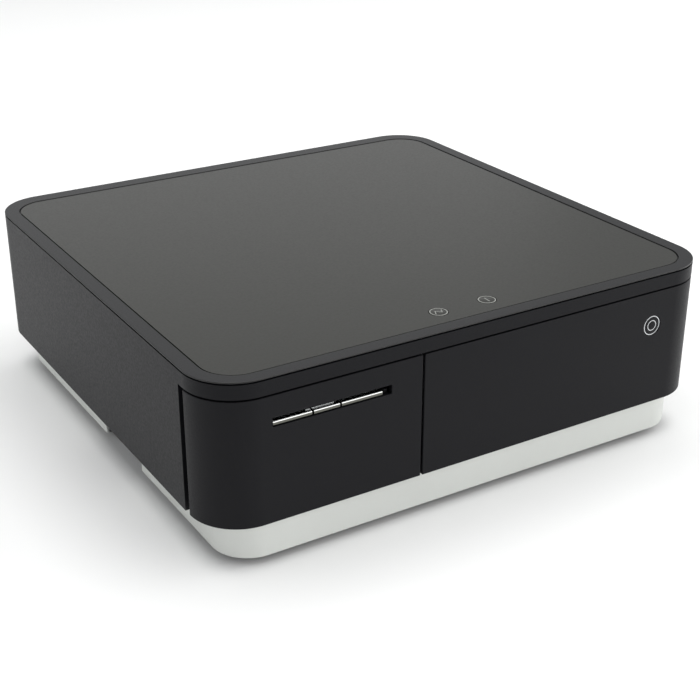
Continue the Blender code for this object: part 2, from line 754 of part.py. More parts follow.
# ---------------------------------------------------------------- latch
def build_latch():
    """Solenoid latch and ejector behind the drawer. The lever is stored released."""
    half = LATCH_W / 2
    half_t = LATCH_T / 2
    tip = TRAY_Y[1] + 2 * GAP
    lever = block(
        "latch_lever",
        (LATCH_X - half, LATCH_X + half),
        (tip, LATCH_Y + 2 * LATCH_PIN_R),
        (LATCH_Z - half_t, LATCH_Z + half_t),
        STEEL,
    )
    nose = block(
        "latch_nose",
        (LATCH_X - half, LATCH_X + half),
        (tip, tip + LATCH_NOSE),
        (LATCH_Z - LATCH_NOSE_DROP, LATCH_Z),
    )
    hole = cylinder(
        "latch_hole", "X", (LATCH_X, LATCH_Y, LATCH_Z), LATCH_PIN_R + RUN, 4 * LATCH_W
    )
    join(lever, nose)
    cut(lever, hole)
    ear_gap = half + FIT
    ear_out = ear_gap + SHEET_STEEL
    cylinder(
        "latch_pin",
        "X",
        (LATCH_X, LATCH_Y, LATCH_Z),
        LATCH_PIN_R,
        2 * (ear_out + FIT),
        BRIGHT,
        24,
    )
    bracket_top = LATCH_Z + EAR
    bracket = block(
        "latch_bracket",
        (LATCH_X - ear_out, LATCH_X + ear_out),
        (LATCH_Y - EAR, INSIDE_REAR - GAP),
        (FLOOR_Z + GAP, bracket_top),
        STEEL,
    )
    throat = block(
        "bracket_throat",
        (LATCH_X - ear_gap, LATCH_X + ear_gap),
        (LATCH_Y - EAR - THROAT, INSIDE_REAR - GAP - SHEET_STEEL),
        (FLOOR_Z + GAP + SHEET_STEEL, HEIGHT),
    )
    pin_hole = cylinder(
        "bracket_pin_hole", "X", (LATCH_X, LATCH_Y, LATCH_Z), LATCH_PIN_R + RUN, 4 * LATCH_W
    )
    cut(bracket, throat, pin_hole)

    coil_low = bracket_top + GAP
    plunger_y = LATCH_Y - PLUNGER_FORWARD
    coil_y = (plunger_y - COIL_FRONT, INSIDE_REAR - GAP)
    coil = block(
        "solenoid_coil",
        (LATCH_X - SOLENOID_W / 2, LATCH_X + SOLENOID_W / 2),
        coil_y,
        (coil_low, coil_low + SOLENOID_H),
        COPPER,
    )
    bore = cylinder(
        "solenoid_bore",
        "Z",
        (LATCH_X, plunger_y, coil_low + SOLENOID_H / 2),
        PLUNGER_R + GAP,
        2 * SOLENOID_H,
    )
    cut(coil, bore)
    plunger_z = (LATCH_Z + half_t + GAP, coil_low + SOLENOID_H - PLUNGER_SINK)
    cylinder(
        "solenoid_plunger",
        "Z",
        (LATCH_X, plunger_y, sum(plunger_z) / 2),
        PLUNGER_R,
        plunger_z[1] - plunger_z[0],
        BRIGHT,
        24,
    )
    switch_x = LATCH_X + SWITCH_RIGHT
    switch_w, switch_d, switch_h = SWITCH_SIZE
    block(
        "drawer_switch",
        (switch_x - switch_w / 2, switch_x + switch_w / 2),
        (tip, tip + switch_d),
        (FLOOR_Z + GAP, FLOOR_Z + GAP + switch_h),
        BLACK,
    )

    wire = bpy.data.curves.new("ejector_spring", "CURVE")
    wire.dimensions = "3D"
    wire.bevel_depth = SPRING_WIRE
    wire.bevel_resolution = 1
    wire.use_fill_caps = True
    spline = wire.splines.new("POLY")
    around = 12
    count = SPRING_TURNS * around
    spline.points.add(count)
    start = TRAY_Y[1] + SPRING_WIRE + GAP
    length = INSIDE_REAR - GAP - SPRING_WIRE - start
    for index, point in enumerate(spline.points):
        angle = 2 * math.pi * index / around
        point.co = (
            TRAY_MIDDLE + EJECTOR_RIGHT + SPRING_R * math.cos(angle),
            start + length * index / count,
            SLIDE_MID_Z + SPRING_R * math.sin(angle),
            1.0,
        )
    spring = bpy.data.objects.new("ejector_spring", wire)
    parts.objects.link(spring)
    wire.materials.append(material("ejector_spring", *BRIGHT))


# ---------------------------------------------------------------- gears
def gear_outline(teeth, phase):
    """A spur gear's outline: straight-sided teeth with play, turned by a phase angle."""
    pitch_r = MODULE * teeth / 2
    tip_r = pitch_r + 0.85 * MODULE
    root_r = pitch_r - 1.15 * MODULE
    half_pitch = math.pi / (2 * teeth) - BACKLASH / pitch_r / 2
    points = []
    for tooth in range(teeth):
        middle = phase + 2 * math.pi * tooth / teeth
        for radius, share in ((root_r, -1.45), (pitch_r, -0.95), (tip_r, -0.45),
                              (tip_r, 0.45), (pitch_r, 0.95), (root_r, 1.45)):
            angle = middle + share * half_pitch
            points.append((radius * math.cos(angle), radius * math.sin(angle)))
    return points


# ---------------------------------------------------------------- printer
def build_printer():
    """The fixed side of the printer: frame, head, paper motor, gears, tear bar and guides."""
    guide_in = CHEEK + GUIDE_PLAY
    web = CHEEK + RUNNER_W + GUIDE_DEPTH
    top = RUNNER_Z + RUNNER_H / 2 + GAP
    low = RUNNER_Z - RUNNER_H / 2 - GAP
    for side, sign in (("left", -1), ("right", 1)):
        section = (
            (web, FLOOR_Z + GAP),
            (web + GUIDE_WEB, FLOOR_Z + GAP),
            (web + GUIDE_WEB, top + GUIDE_FLANGE),
            (guide_in, top + GUIDE_FLANGE),
            (guide_in, top),
            (web, top),
            (web, low),
            (guide_in, low),
            (guide_in, low - GUIDE_FLANGE),
            (web, low - GUIDE_FLANGE),
        )
        guide_front = PANEL_BACK + RUNNER_SETBACK + 2 * FIT
        extrusion(
            "printer_guide_" + side,
            "Y",
            [[(PAPER_X + sign * u, v) for u, v in section]],
            (guide_front, guide_front + RUNNER_LENGTH),
            WHITE_PLASTIC,
        )

    plate = web + GUIDE_WEB + GAP
    frame_y = (PANEL_BACK + RUNNER_SETBACK, MOTOR_AXIS[0] + MOTOR_R + FRAME_BEHIND_MOTOR)
    frame = block(
        "print_frame",
        (PAPER_X - plate - SHEET_STEEL, PAPER_X + plate + SHEET_STEEL),
        frame_y,
        (FLOOR_Z + GAP, FRAME_TOP),
        STEEL,
    )
    inside = block(
        "frame_inside",
        (PAPER_X - plate, PAPER_X + plate),
        (-DEPTH, DEPTH),
        (0, FRAME_TOP - SHEET_STEEL),
    )
    cut(frame, inside)

    plate_x = (PAPER_X - plate - SHEET_STEEL, PAPER_X - plate)
    stud = cylinder(
        "idler_stud",
        "X",
        ((plate_x[0] + GAP + GEAR_X[1]) / 2, *IDLER_AXIS),
        SHAFT_R,
        GEAR_X[1] - plate_x[0] - GAP,
        sides=24,
    )
    join(frame, stud)
    shaft_hole = cylinder(
        "motor_shaft_hole", "X", (plate_x[0], *MOTOR_AXIS), MOTOR_HOLE_R, 8 * SHEET_STEEL
    )
    cut(frame, shaft_hole)
    extrusion(
        "idler_gear",
        "X",
        [gear_outline(IDLER_TEETH, math.pi / IDLER_TEETH), circle(SHAFT_R + RUN)],
        GEAR_X,
        WHITE_PLASTIC,
        IDLER_AXIS,
    )
    pinion = extrusion(
        "motor_pinion",
        "X",
        [gear_outline(MOTOR_TEETH, math.pi - GEAR_DROP)],
        GEAR_X,
        BRIGHT,
        MOTOR_AXIS,
    )
    shaft = cylinder(
        "pinion_shaft",
        "X",
        ((plate_x[0] + GEAR_X[0]) / 2 + GEAR_T / 4, *MOTOR_AXIS),
        MOTOR_SHAFT_R,
        GEAR_X[0] - plate_x[0] + GEAR_T / 2,
        sides=16,
    )
    join(pinion, shaft)
    motor_x = (-X1 + CASE_WALL + MOTOR_SPACE, plate_x[0] - GAP)
    cylinder(
        "paper_motor",
        "X",
        (sum(motor_x) / 2, *MOTOR_AXIS),
        MOTOR_R,
        motor_x[1] - motor_x[0],
        STEEL,
        40,
    )

    head_low = PLATEN_Z + PLATEN_R + GAP
    block(
        "print_head",
        PAPER_EDGES,
        (PLATEN_Y - HEAD_AHEAD, PLATEN_Y + HEAD_BEHIND),
        (head_low, head_low + HEAD_H),
        STEEL,
    )
    block(
        "tear_bar",
        PAPER_EDGES,
        (frame_y[0] - GAP - TEAR_BAR_T, frame_y[0] - GAP),
        (SLOT_LOW + SLOT_H - TEAR_BAR_DIP, FRAME_TOP),
        BRIGHT,
    )


# ---------------------------------------------------------------- printer cover
def build_cover():
    """The slide-out side of the printer: panel, roll bucket, bars, release lever and platen."""
    panel = front_panel("printer_cover", (PARTITION_X[0], WIDTH), BLACK)
    slot = block(
        "paper_slot",
        SLOT_X,
        (-DEPTH, PANEL_BACK + FIT),
        (SLOT_LOW, SLOT_LOW + SLOT_H),
    )
    cut(panel, slot)

    outer_x = (PAPER_X - CHEEK, PAPER_X + CHEEK)
    inner_x = (PAPER_X - BUCKET_HALF, PAPER_X + BUCKET_HALF)
    front_y = PANEL_BACK + GAP
    roll_y = front_y + BUCKET_FRONT + BUCKET_WALL + ROLL_R
    bucket_low = FLOOR_Z + BUCKET_LIFT
    roll_z = bucket_low + BUCKET_WALL + ROLL_R
    bucket_y = (front_y, roll_y + ROLL_R + BUCKET_WALL)
    bucket_z = (bucket_low, PLATEN_Z + BUCKET_RISE)

    def lower(middle):
        return middle.z < 0

    bucket = block(
        "roll_bucket", outer_x, bucket_y, bucket_z, BLACK_INNER, ROLL_R * 0.6, 0, lower, 5
    )
    roll_space = cylinder(
        "roll_space", "X", (PAPER_X, roll_y, roll_z), ROLL_R, 2 * BUCKET_HALF, sides=40
    )
    roll_way = block(
        "roll_way", inner_x, (roll_y - ROLL_R, roll_y + ROLL_R), (roll_z, HEIGHT)
    )
    front_room = block(
        "bucket_front_room",
        inner_x,
        (front_y + BUCKET_WALL, front_y + BUCKET_FRONT),
        (RUNNER_Z + BUCKET_FRONT_LIFT, HEIGHT),
    )
    low_front = block(
        "bucket_low_front", inner_x, (-DEPTH, roll_y), (PLATEN_Z - PLATEN_R - PAPER_WAY, HEIGHT)
    )
    cut(bucket, roll_space, roll_way, front_room, low_front)
    bush_r = SHAFT_R + RUN + BUSH_WALL
    for side, sign in (("left", -1), ("right", 1)):
        wall = PAPER_X + sign * CHEEK
        runner_front = PANEL_BACK + RUNNER_SETBACK
        rail = block(
            side + "_runner",
            (wall - sign * BUCKET_WALL / 2, wall + sign * RUNNER_W),
            (runner_front, runner_front + RUNNER_LENGTH),
            (RUNNER_Z - RUNNER_H / 2, RUNNER_Z + RUNNER_H / 2),
        )
        seat = block(
            side + "_bush_seat",
            (wall - sign * 2 * BUCKET_WALL, wall + sign * BUCKET_WALL),
            (PLATEN_Y - bush_r - GAP, PLATEN_Y + bush_r + GAP),
            (PLATEN_Z - bush_r - GAP, HEIGHT),
        )
        cut(bucket, seat)
        join(bucket, rail)
        middle = wall - sign * BUCKET_WALL / 2
        bush = cylinder(
            "platen_bush_" + side,
            "X",
            (middle, PLATEN_Y, PLATEN_Z),
            bush_r,
            BUCKET_WALL + GAP,
            WHITE_PLASTIC,
            24,
        )
        bore = cylinder(
            side + "_bush_bore", "X", (middle, PLATEN_Y, PLATEN_Z), SHAFT_R + RUN, 4 * BUCKET_WALL
        )
        cut(bush, bore)

    bar_z = (SLOT_LOW + BAR_LIFT, SLOT_LOW + BAR_LIFT + BAR_H)
    bar_front = -Y1 + BAR_BACK

    def upper_front(middle):
        return middle.y < 0 and middle.z > 0

    bar_r = BAR_H * BAR_ROUND
    left_end = SLOT_X[0] + GAP + LEFT_BAR_W
    lever_x = (left_end + BAR_SEAM, left_end + BAR_SEAM + LEVER_W)
    left_bar = (SLOT_X[0] + GAP, left_end)
    right_bar = (lever_x[1] + BAR_SEAM, SLOT_X[1] - POCKET_W)
    for side, ends in (("left", left_bar), ("right", right_bar)):
        bar_y = (bar_front, PANEL_BACK + GAP + SHEET_STEEL)
        trim = block("exit_trim_" + side, ends, bar_y, bar_z, BRIGHT, bar_r, 0, upper_front, 4)
        flange_x = (max(ends[0], inner_x[0] + GAP), min(ends[1], inner_x[1] - GAP))
        flange = block(
            side + "_trim_flange",
            flange_x,
            (PANEL_BACK + GAP, PANEL_BACK + GAP + SHEET_STEEL),
            (PLATEN_Z - PLATEN_R, bar_z[0] + BAR_H / 2),
        )
        join(trim, flange)

    lever_y = (bar_front, bar_front + LEVER_DEPTH)
    pivot_z = bar_z[0] - LEVER_PIVOT_DROP
    pivot_y = lever_y[1] - LEVER_HUB_R / 2
    arm_y = (pivot_y - LEVER_HUB_R / 2, pivot_y + LEVER_HUB_R / 2)
    lever = block(
        "cover_release_lever", lever_x, lever_y, bar_z, BRIGHT, bar_r, 0, upper_front, 4
    )
    arm = block("lever_arm", lever_x, arm_y, (pivot_z, bar_z[0] + BAR_H / 2))
    hub = cylinder(
        "lever_hub",
        "X",
        (sum(lever_x) / 2, pivot_y, pivot_z),
        LEVER_HUB_R,
        lever_x[1] - lever_x[0] - GAP,
        sides=20,
    )
    join(lever, arm, hub)

    shaft_x = (GEAR_X[0] - FIT, outer_x[1] + 2 * FIT)
    cylinder(
        "platen_shaft",
        "X",
        (sum(shaft_x) / 2, PLATEN_Y, PLATEN_Z),
        SHAFT_R,
        shaft_x[1] - shaft_x[0],
        BRIGHT,
        24,
    )
    roller = cylinder(
        "platen_roller", "X", (PAPER_X, PLATEN_Y, PLATEN_Z), PLATEN_R, PAPER_W, RUBBER, 32
    )
    roller_bore = cylinder(
        "roller_bore", "X", (PAPER_X, PLATEN_Y, PLATEN_Z), SHAFT_R + GAP, 2 * PAPER_W, sides=24
    )
    cut(roller, roller_bore)
    extrusion(
        "platen_gear",
        "X",
        [gear_outline(PLATEN_TEETH, 0.0), circle(SHAFT_R + GAP)],
        GEAR_X,
        WHITE_PLASTIC,
        (PLATEN_Y, PLATEN_Z),
    )


# ---------------------------------------------------------------- electronics
def build_electronics():
    """The main board with the sockets at the rear, and the small board under the buttons."""
    board_x = (-X1 + CASE_WALL + BOARD_SIDE, PARTITION_X[0] - BOARD_RIGHT)
    runner_end = PANEL_BACK + RUNNER_SETBACK + RUNNER_LENGTH
    board_y = (runner_end + BOARD_BEHIND_RUNNER, INSIDE_REAR - BOARD_REAR)
    block("main_board", board_x, board_y, (BOARD_Z, BOARD_Z + BOARD_T), GREEN_BOARD)
    for name, inset, width, height in SOCKETS:
        middle = -X1 + CORNER_R + inset
        low = BOARD_Z + BOARD_T + GAP
        socket = block(
            name,
            (middle - width / 2, middle + width / 2),
            (Y1 - GAP - SOCKET_DEPTH, Y1 - GAP),
            (low, low + height),
            BLACK if name == "dc_inlet" else STEEL,
        )
        if name == "dc_inlet":
            mouth = cylinder(
                name + "_mouth",
                "Y",
                (middle, Y1 - GAP, low + height / 2),
                INLET_MOUTH_R,
                2 * SOCKET_MOUTH,
                sides=24,
            )
        else:
            mouth = block(
                name + "_mouth",
                (middle - width / 2 + SOCKET_SHEET, middle + width / 2 - SOCKET_SHEET),
                (Y1 - GAP - SOCKET_MOUTH, Y1),
                (low + SOCKET_SHEET, low + height - SOCKET_SHEET),
            )
        cut(socket, mouth)
    deck_z = SHEET_TOP - BUTTON_H - BUTTON_TRAVEL - GAP
    block(
        "button_board",
        (BUTTON_MID_X - BUTTON_PITCH, BUTTON_MID_X + BUTTON_PITCH),
        (BUTTON_Y - BUTTON_BOARD_D / 2, BUTTON_Y + BUTTON_BOARD_D / 2),
        (deck_z - BOARD_T, deck_z),
        GREEN_BOARD,
    )


build_case()
build_base()
build_drawer()
build_slides()
build_latch()
build_printer()
build_cover()
build_electronics()
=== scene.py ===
import json
import math

import bmesh
import bpy
from mathutils import Matrix, Vector


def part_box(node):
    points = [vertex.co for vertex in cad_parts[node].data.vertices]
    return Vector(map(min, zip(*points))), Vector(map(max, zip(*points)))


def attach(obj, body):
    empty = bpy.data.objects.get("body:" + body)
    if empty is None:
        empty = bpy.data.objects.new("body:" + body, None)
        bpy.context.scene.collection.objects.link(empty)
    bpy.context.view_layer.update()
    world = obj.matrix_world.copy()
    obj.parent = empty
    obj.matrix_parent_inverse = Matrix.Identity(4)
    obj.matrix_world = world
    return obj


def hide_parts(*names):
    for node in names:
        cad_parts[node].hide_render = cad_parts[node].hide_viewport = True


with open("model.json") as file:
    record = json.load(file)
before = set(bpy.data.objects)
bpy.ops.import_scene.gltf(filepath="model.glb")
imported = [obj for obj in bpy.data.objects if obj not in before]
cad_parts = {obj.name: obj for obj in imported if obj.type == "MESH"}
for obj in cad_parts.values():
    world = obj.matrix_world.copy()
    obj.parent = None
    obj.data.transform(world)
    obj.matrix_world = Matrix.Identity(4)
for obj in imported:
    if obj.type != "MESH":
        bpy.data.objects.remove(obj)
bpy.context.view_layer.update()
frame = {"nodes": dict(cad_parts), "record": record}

bodies = frame["record"]["behaviour"]["bodies"]
body_of_node = {node: body for body, nodes in bodies.items() for node in nodes}

# ---------------------------------------------------------------- camera
# Stands at the left front of the unit and looks down on it.
camera_data = bpy.data.cameras.new("camera")
camera_data.sensor_width = 36.0
camera_data.lens = 68.45
camera = bpy.data.objects.new("camera", camera_data)
camera.location = (-0.3627, -0.6118, 0.3599)
camera.rotation_euler = (math.radians(64.78), 0.0, math.radians(-31.42))
bpy.context.scene.collection.objects.link(camera)
bpy.context.scene.camera = camera

# ---------------------------------------------------------------- studio
# A wide white table under five soft boxes: a broad one overhead, a dim one behind that shines on
# the top, one at each side, and the strongest at the front right for the silver base.


def linear(hex_colour):
    """An sRGB hex colour as linear RGBA."""
    channels = [int(hex_colour[i : i + 2], 16) / 255 for i in (1, 3, 5)]
    return (*[c / 12.92 if c <= 0.04045 else ((c + 0.055) / 1.055) ** 2.4 for c in channels], 1.0)


def add(tree, kind, links=(), **settings):
    """Adds a node. Settings are its properties or inputs, links are (input, source socket)."""
    node = tree.nodes.new(kind)
    for name, value in settings.items():
        if hasattr(node, name):
            setattr(node, name, value)
        else:
            node.inputs[name.replace("_", " ")].default_value = value
    for name, source in links:
        tree.links.new(source, node.inputs[name])
    return node


def new_material(name):
    made = bpy.data.materials.new(name)
    made.use_nodes = True
    return made, made.node_tree, made.node_tree.nodes["Principled BSDF"]


def loose(name, shape):
    """A bmesh as an object in the scene, not yet a finished piece."""
    mesh = bpy.data.meshes.new(name)
    shape.to_mesh(mesh)
    shape.free()
    made = bpy.data.objects.new(name, mesh)
    bpy.context.scene.collection.objects.link(made)
    return made


def soft_box(name, place, aim, size, power):
    data = bpy.data.lights.new(name, "AREA")
    data.shape = "RECTANGLE"
    data.size, data.size_y = size
    data.energy = power
    lamp = bpy.data.objects.new(name, data)
    lamp.location = place
    lamp.rotation_euler = (Vector(aim) - Vector(place)).to_track_quat("-Z", "Y").to_euler()
    bpy.context.scene.collection.objects.link(lamp)


soft_box("overhead_box", (0.0, 0.1, 1.8), (0, 0, 0), (1.8, 1.8), 28)
soft_box("rear_box", (1.4, 4.2, 1.3), (0, 0, 0.1), (3.8, 1.4), 7)
soft_box("left_box", (-3.0, 1.6, 1.1), (-0.15, 0, 0.05), (2.6, 1.6), 24)
soft_box("front_box", (2.5, -2.6, 1.6), (0.05, -0.15, 0.03), (5.0, 2.5), 86)
soft_box("right_box", (3.2, 0.3, 1.3), (0.15, 0, 0.05), (2.6, 1.5), 33)

world = bpy.data.worlds.new("studio")
bpy.context.scene.world = world
world.use_nodes = True
world.node_tree.nodes["Background"].inputs["Color"].default_value = linear("#f6f8fa")
world.node_tree.nodes["Background"].inputs["Strength"].default_value = 0.43
bpy.context.scene.view_settings.view_transform = "Standard"

table_shape = bmesh.new()
bmesh.ops.create_grid(table_shape, x_segments=1, y_segments=1, size=40.0)
table = loose("table", table_shape)
white_table, tree, shader = new_material("white_table")
shader.inputs["Base Color"].default_value = linear("#f2f2f1")
shader.inputs["Roughness"].default_value = 0.75
table.data.materials.append(white_table)


# ---------------------------------------------------------------- silver skirt of the base
# Two U-shaped trims of ABS with silver metallic paint, clipped round the black base frames.
# The paint shows fine flakes and a little orange peel.
def box(x, y, z, radius=0.0, along=2, keep=None, steps=24):
    """A box between limits, its edges along one axis rounded where keep allows it."""
    low = Vector((min(x), min(y), min(z)))
    size = Vector((max(x), max(y), max(z))) - low
    shape = bmesh.new()
    place = Matrix.Translation(low + size / 2) @ Matrix.Diagonal((*size, 1.0))
    bmesh.ops.create_cube(shape, size=1.0, matrix=place)
    if radius:
        chosen = []
        for edge in shape.edges:
            run = edge.verts[1].co - edge.verts[0].co
            middle = (edge.verts[0].co + edge.verts[1].co) / 2 - low - size / 2
            if abs(run[along]) > 1e-6 and (keep is None or keep(middle)):
                chosen.append(edge)
        bmesh.ops.bevel(
            shape, geom=chosen, offset=radius, segments=steps, profile=0.5, affect="EDGES"
        )
    return shape


def middle_of(node):
    low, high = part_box(node)
    return (low + high) / 2


def rod(axis, centre, radius, length, sides=64):
    """A round bar about X, Y or Z."""
    turn = {
        "X": Matrix.Rotation(math.pi / 2, 4, "Y"),
        "Y": Matrix.Rotation(-math.pi / 2, 4, "X"),
        "Z": Matrix.Identity(4),
    }[axis]
    shape = bmesh.new()
    place = Matrix.Translation(centre) @ turn
    bmesh.ops.create_cone(
        shape, cap_ends=True, segments=sides, radius1=radius, radius2=radius, depth=length,
        matrix=place,
    )
    return shape


def changed_by(made, kind, **settings):
    """Adds a modifier with its settings."""
    change = made.modifiers.new(kind.lower(), kind)
    for name, value in settings.items():
        setattr(change, name, value)
    return change


def finished(name, shape, finish, cuts=(), joins=(), edge=0.0004, edge_steps=3):
    """Joins and cuts a form, rounds its sharp edges, and leaves a plain mesh."""
    made = loose(name, shape)
    tools = []
    for operation, forms in (("UNION", joins), ("DIFFERENCE", cuts)):
        for form in forms:
            tool = loose(name + "_tool", form)
            tools.append(tool)
            changed_by(made, "BOOLEAN", operation=operation, object=tool, solver="EXACT")
    if edge:
        changed_by(made, "WELD", merge_threshold=1e-6)
        changed_by(made, "BEVEL", width=edge, segments=edge_steps, limit_method="ANGLE",
                   angle_limit=math.radians(35), use_clamp_overlap=True, miter_outer="MITER_ARC")
    graph = bpy.context.evaluated_depsgraph_get()
    mesh = bpy.data.meshes.new_from_object(made.evaluated_get(graph))
    mesh.name = name
    made.modifiers.clear()
    old = made.data
    made.data = mesh
    bpy.data.meshes.remove(old)
    for tool in tools:
        bpy.data.meshes.remove(tool.data)
    mesh.shade_smooth()
    mesh.set_sharp_from_angle(angle=math.radians(30))
    changed_by(made, "WEIGHTED_NORMAL", keep_sharp=True, weight=80)
    mesh.materials.clear()
    mesh.materials.append(finish)
    return made


def rides(piece, body):
    """A piece that no CAD node stands for: its body."""
    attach(piece, body)


def stands_for(piece, node):
    """The piece rides on its CAD node's body and hides that node."""
    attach(piece, body_of_node[node])
    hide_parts(node)


def wired(tree, shader, colour, gloss, bump):
    """Links a finish's colour, gloss and bump to its shader."""
    tree.links.new(colour, shader.inputs["Base Color"])
    tree.links.new(gloss.outputs["Result"], shader.inputs["Roughness"])
    tree.links.new(bump.outputs["Normal"], shader.inputs["Normal"])


def grained(name, colour, rough, grain_mm, depth_mm, specular=0.5, metallic=0.0, drift=0.06):
    """A moulded or painted finish: fine grain in the bump, slow drift in colour and gloss."""
    made, tree, shader = new_material(name)
    shader.inputs["Metallic"].default_value = metallic
    shader.inputs["Specular IOR Level"].default_value = specular
    place = add(tree, "ShaderNodeTexCoord").outputs["Object"]
    grain = add(tree, "ShaderNodeTexNoise", [("Vector", place)], Scale=1000 / grain_mm, Detail=2.0)
    slow = add(tree, "ShaderNodeTexNoise", [("Vector", place)], Scale=22.0, Detail=3.0)
    tone = add(tree, "ShaderNodeMix", [("Factor", slow.outputs["Fac"])], data_type="RGBA")
    for number, share in ((6, 1 - drift), (7, 1 + drift)):
        shade = [min(1.0, c * share) for c in linear(colour)[:3]]
        tone.inputs[number].default_value = (*shade, 1.0)
    gloss = add(tree, "ShaderNodeMapRange", [("Value", grain.outputs["Fac"])], From_Min=0.3,
                From_Max=0.7, To_Min=rough * 0.88, To_Max=min(1.0, rough * 1.12))
    bump = add(tree, "ShaderNodeBump", [("Height", grain.outputs["Fac"])], Strength=1.0,
               Distance=depth_mm / 1000)
    wired(tree, shader, tone.outputs[2], gloss, bump)
    return made


# Silver metallic paint: flakes 0.8 mm apart at most (drawn coarser than real), satin clear coat.
silver_paint = grained("silver_metallic_paint", "#d3d5d1", 0.42, 0.8, 0.035, 0.5, 0.35, 0.05)


def half_of_base(kind, half, radius):
    """One half of the base: its limits, the rounded form of both, and a cutter for the other."""
    low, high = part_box(f"{kind}_{half}")
    other_low, other_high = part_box(kind + ("_rear" if half == "front" else "_front"))
    y0, y1 = min(low.y, other_low.y), max(high.y, other_high.y)
    whole = box((low.x, high.x), (y0, y1), (low.z, high.z), radius)
    away = (high.y, 1) if half == "front" else (-1, low.y)
    return low, high, y0, y1, whole, box((-1, 1), away, (-1, 1))


BASE_R = 0.020
SKIRT_WALL = 0.0018
for half in ("front", "rear"):
    low, high, y0, y1, whole, off = half_of_base("skirt", half, BASE_R)
    room = box((low.x + SKIRT_WALL, high.x - SKIRT_WALL), (y0 + SKIRT_WALL, y1 - SKIRT_WALL),
               (0, 1), BASE_R - SKIRT_WALL)
    skirt = finished("skirt_trim_" + half, whole, silver_paint, [room, off], edge=0.0006)
    stands_for(skirt, "skirt_" + half)

# ---------------------------------------------------------------- base frames
# Black glass-filled ABS trays under the chassis, stiffened by a grid of ribs, with a round boss
# for each foot and four screws up into the chassis plate.
# Plain moulded black plastic: dull, with a slight spark-eroded grain.
inner_black = grained("black_abs_plain", "#17171a", 0.68, 0.9, 0.03, 0.35)
FRAME_R = BASE_R - 0.0021
BASE_WALL = 0.0024
RIB = 0.0016
RIB_DROP = 0.004
ROOT = 0.0003
FOOT_BOSS_R = 0.0114

for half in ("front", "rear"):
    low, high, y0, y1, whole, off = half_of_base("base_frame", half, FRAME_R)
    inner_end = high.y - BASE_WALL if half == "front" else low.y + BASE_WALL
    y_in = (y0 + BASE_WALL, inner_end) if half == "front" else (inner_end, y1 - BASE_WALL)
    cavity = box(
        (low.x + BASE_WALL, high.x - BASE_WALL), y_in, (low.z - 0.001, high.z - BASE_WALL),
        FRAME_R - BASE_WALL,
        keep=(lambda m: m.y < 0) if half == "front" else (lambda m: m.y > 0),
    )
    tray = finished("base_tray_" + half, whole, inner_black, [off, cavity], edge=0.0003,
                    edge_steps=2)
    stands_for(tray, "base_frame_" + half)
    ribs = []
    rib_z = (low.z + RIB_DROP, high.z - BASE_WALL + ROOT)
    for i in range(1, 7):
        x = low.x + (high.x - low.x) * i / 7
        ribs.append(box((x - RIB / 2, x + RIB / 2), (y_in[0] - ROOT, y_in[1] + ROOT), rib_z))
    rib_x = (low.x + BASE_WALL - ROOT + 0.0001, high.x - BASE_WALL + ROOT - 0.0001)
    for i in range(1, 3):
        y = y_in[0] + (y_in[1] - y_in[0]) * i / 3
        ribs.append(box(rib_x, (y - RIB / 2, y + RIB / 2), rib_z))
    boss_z = (low.z + 0.0001, rib_z[1])
    for side in ("left", "right"):
        middle = middle_of(f"foot_{half}_{side}")
        ribs.append(rod("Z", (middle.x, middle.y, sum(boss_z) / 2), FOOT_BOSS_R,
                        boss_z[1] - boss_z[0]))
    grid = finished("base_ribs_" + half, ribs[0], inner_black, joins=ribs[1:], edge=0.0002,
                    edge_steps=1)
    rides(grid, "enclosure")

# ---------------------------------------------------------------- feet
# Moulded rubber pads pressed on the bosses, with a rounded rim and a shallow ring below.
# Black rubber: very dull, faintly dusty.
foot_rubber = grained("black_rubber", "#1c1c1c", 0.88, 0.6, 0.05, 0.3, 0.0, 0.15)


def turned(name, profile, centre, axis, finish, steps=48):
    """A turned piece from (radius, height) pairs, top to bottom, about an axis through centre."""
    shape = bmesh.new()
    points = [shape.verts.new((r, 0.0, h)) for r, h in profile]
    edges = [shape.edges.new(pair) for pair in zip(points, points[1:])]
    bmesh.ops.spin(shape, geom=points + edges, axis=(0, 0, 1), cent=(0, 0, 0), angle=2 * math.pi,
                   steps=steps, use_merge=True)
    bmesh.ops.remove_doubles(shape, verts=shape.verts, dist=1e-7)
    bmesh.ops.recalc_face_normals(shape, faces=shape.faces)
    turn = {
        "X": Matrix.Rotation(math.pi / 2, 4, "Y"),
        "Y": Matrix.Rotation(math.pi / 2, 4, "X"),
        "Z": Matrix.Identity(4),
    }[axis]
    bmesh.ops.transform(shape, matrix=Matrix.Translation(centre) @ turn, verts=shape.verts)
    made = loose(name, shape)
    made.data.shade_smooth()
    made.data.set_sharp_from_angle(angle=math.radians(35))
    made.data.materials.append(finish)
    return made


for half in ("front", "rear"):
    for side in ("left", "right"):
        low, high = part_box(f"foot_{half}_{side}")
        middle = middle_of(f"foot_{half}_{side}")
        r = (high.x - low.x) / 2
        h = high.z - low.z
        pad = turned(
            f"rubber_foot_{half}_{side}",
            [(0, h), (r * 0.86, h), (r * 0.97, h * 0.9), (r, h * 0.72), (r, h * 0.25),
             (r * 0.96, h * 0.08), (r * 0.88, 0), (r * 0.62, 0), (r * 0.58, h * 0.1),
             (r * 0.46, h * 0.1), (r * 0.42, 0), (0, 0)],
            (middle.x, middle.y, 0.0),
            "Z",
            foot_rubber,
        )
        stands_for(pad, f"foot_{half}_{side}")

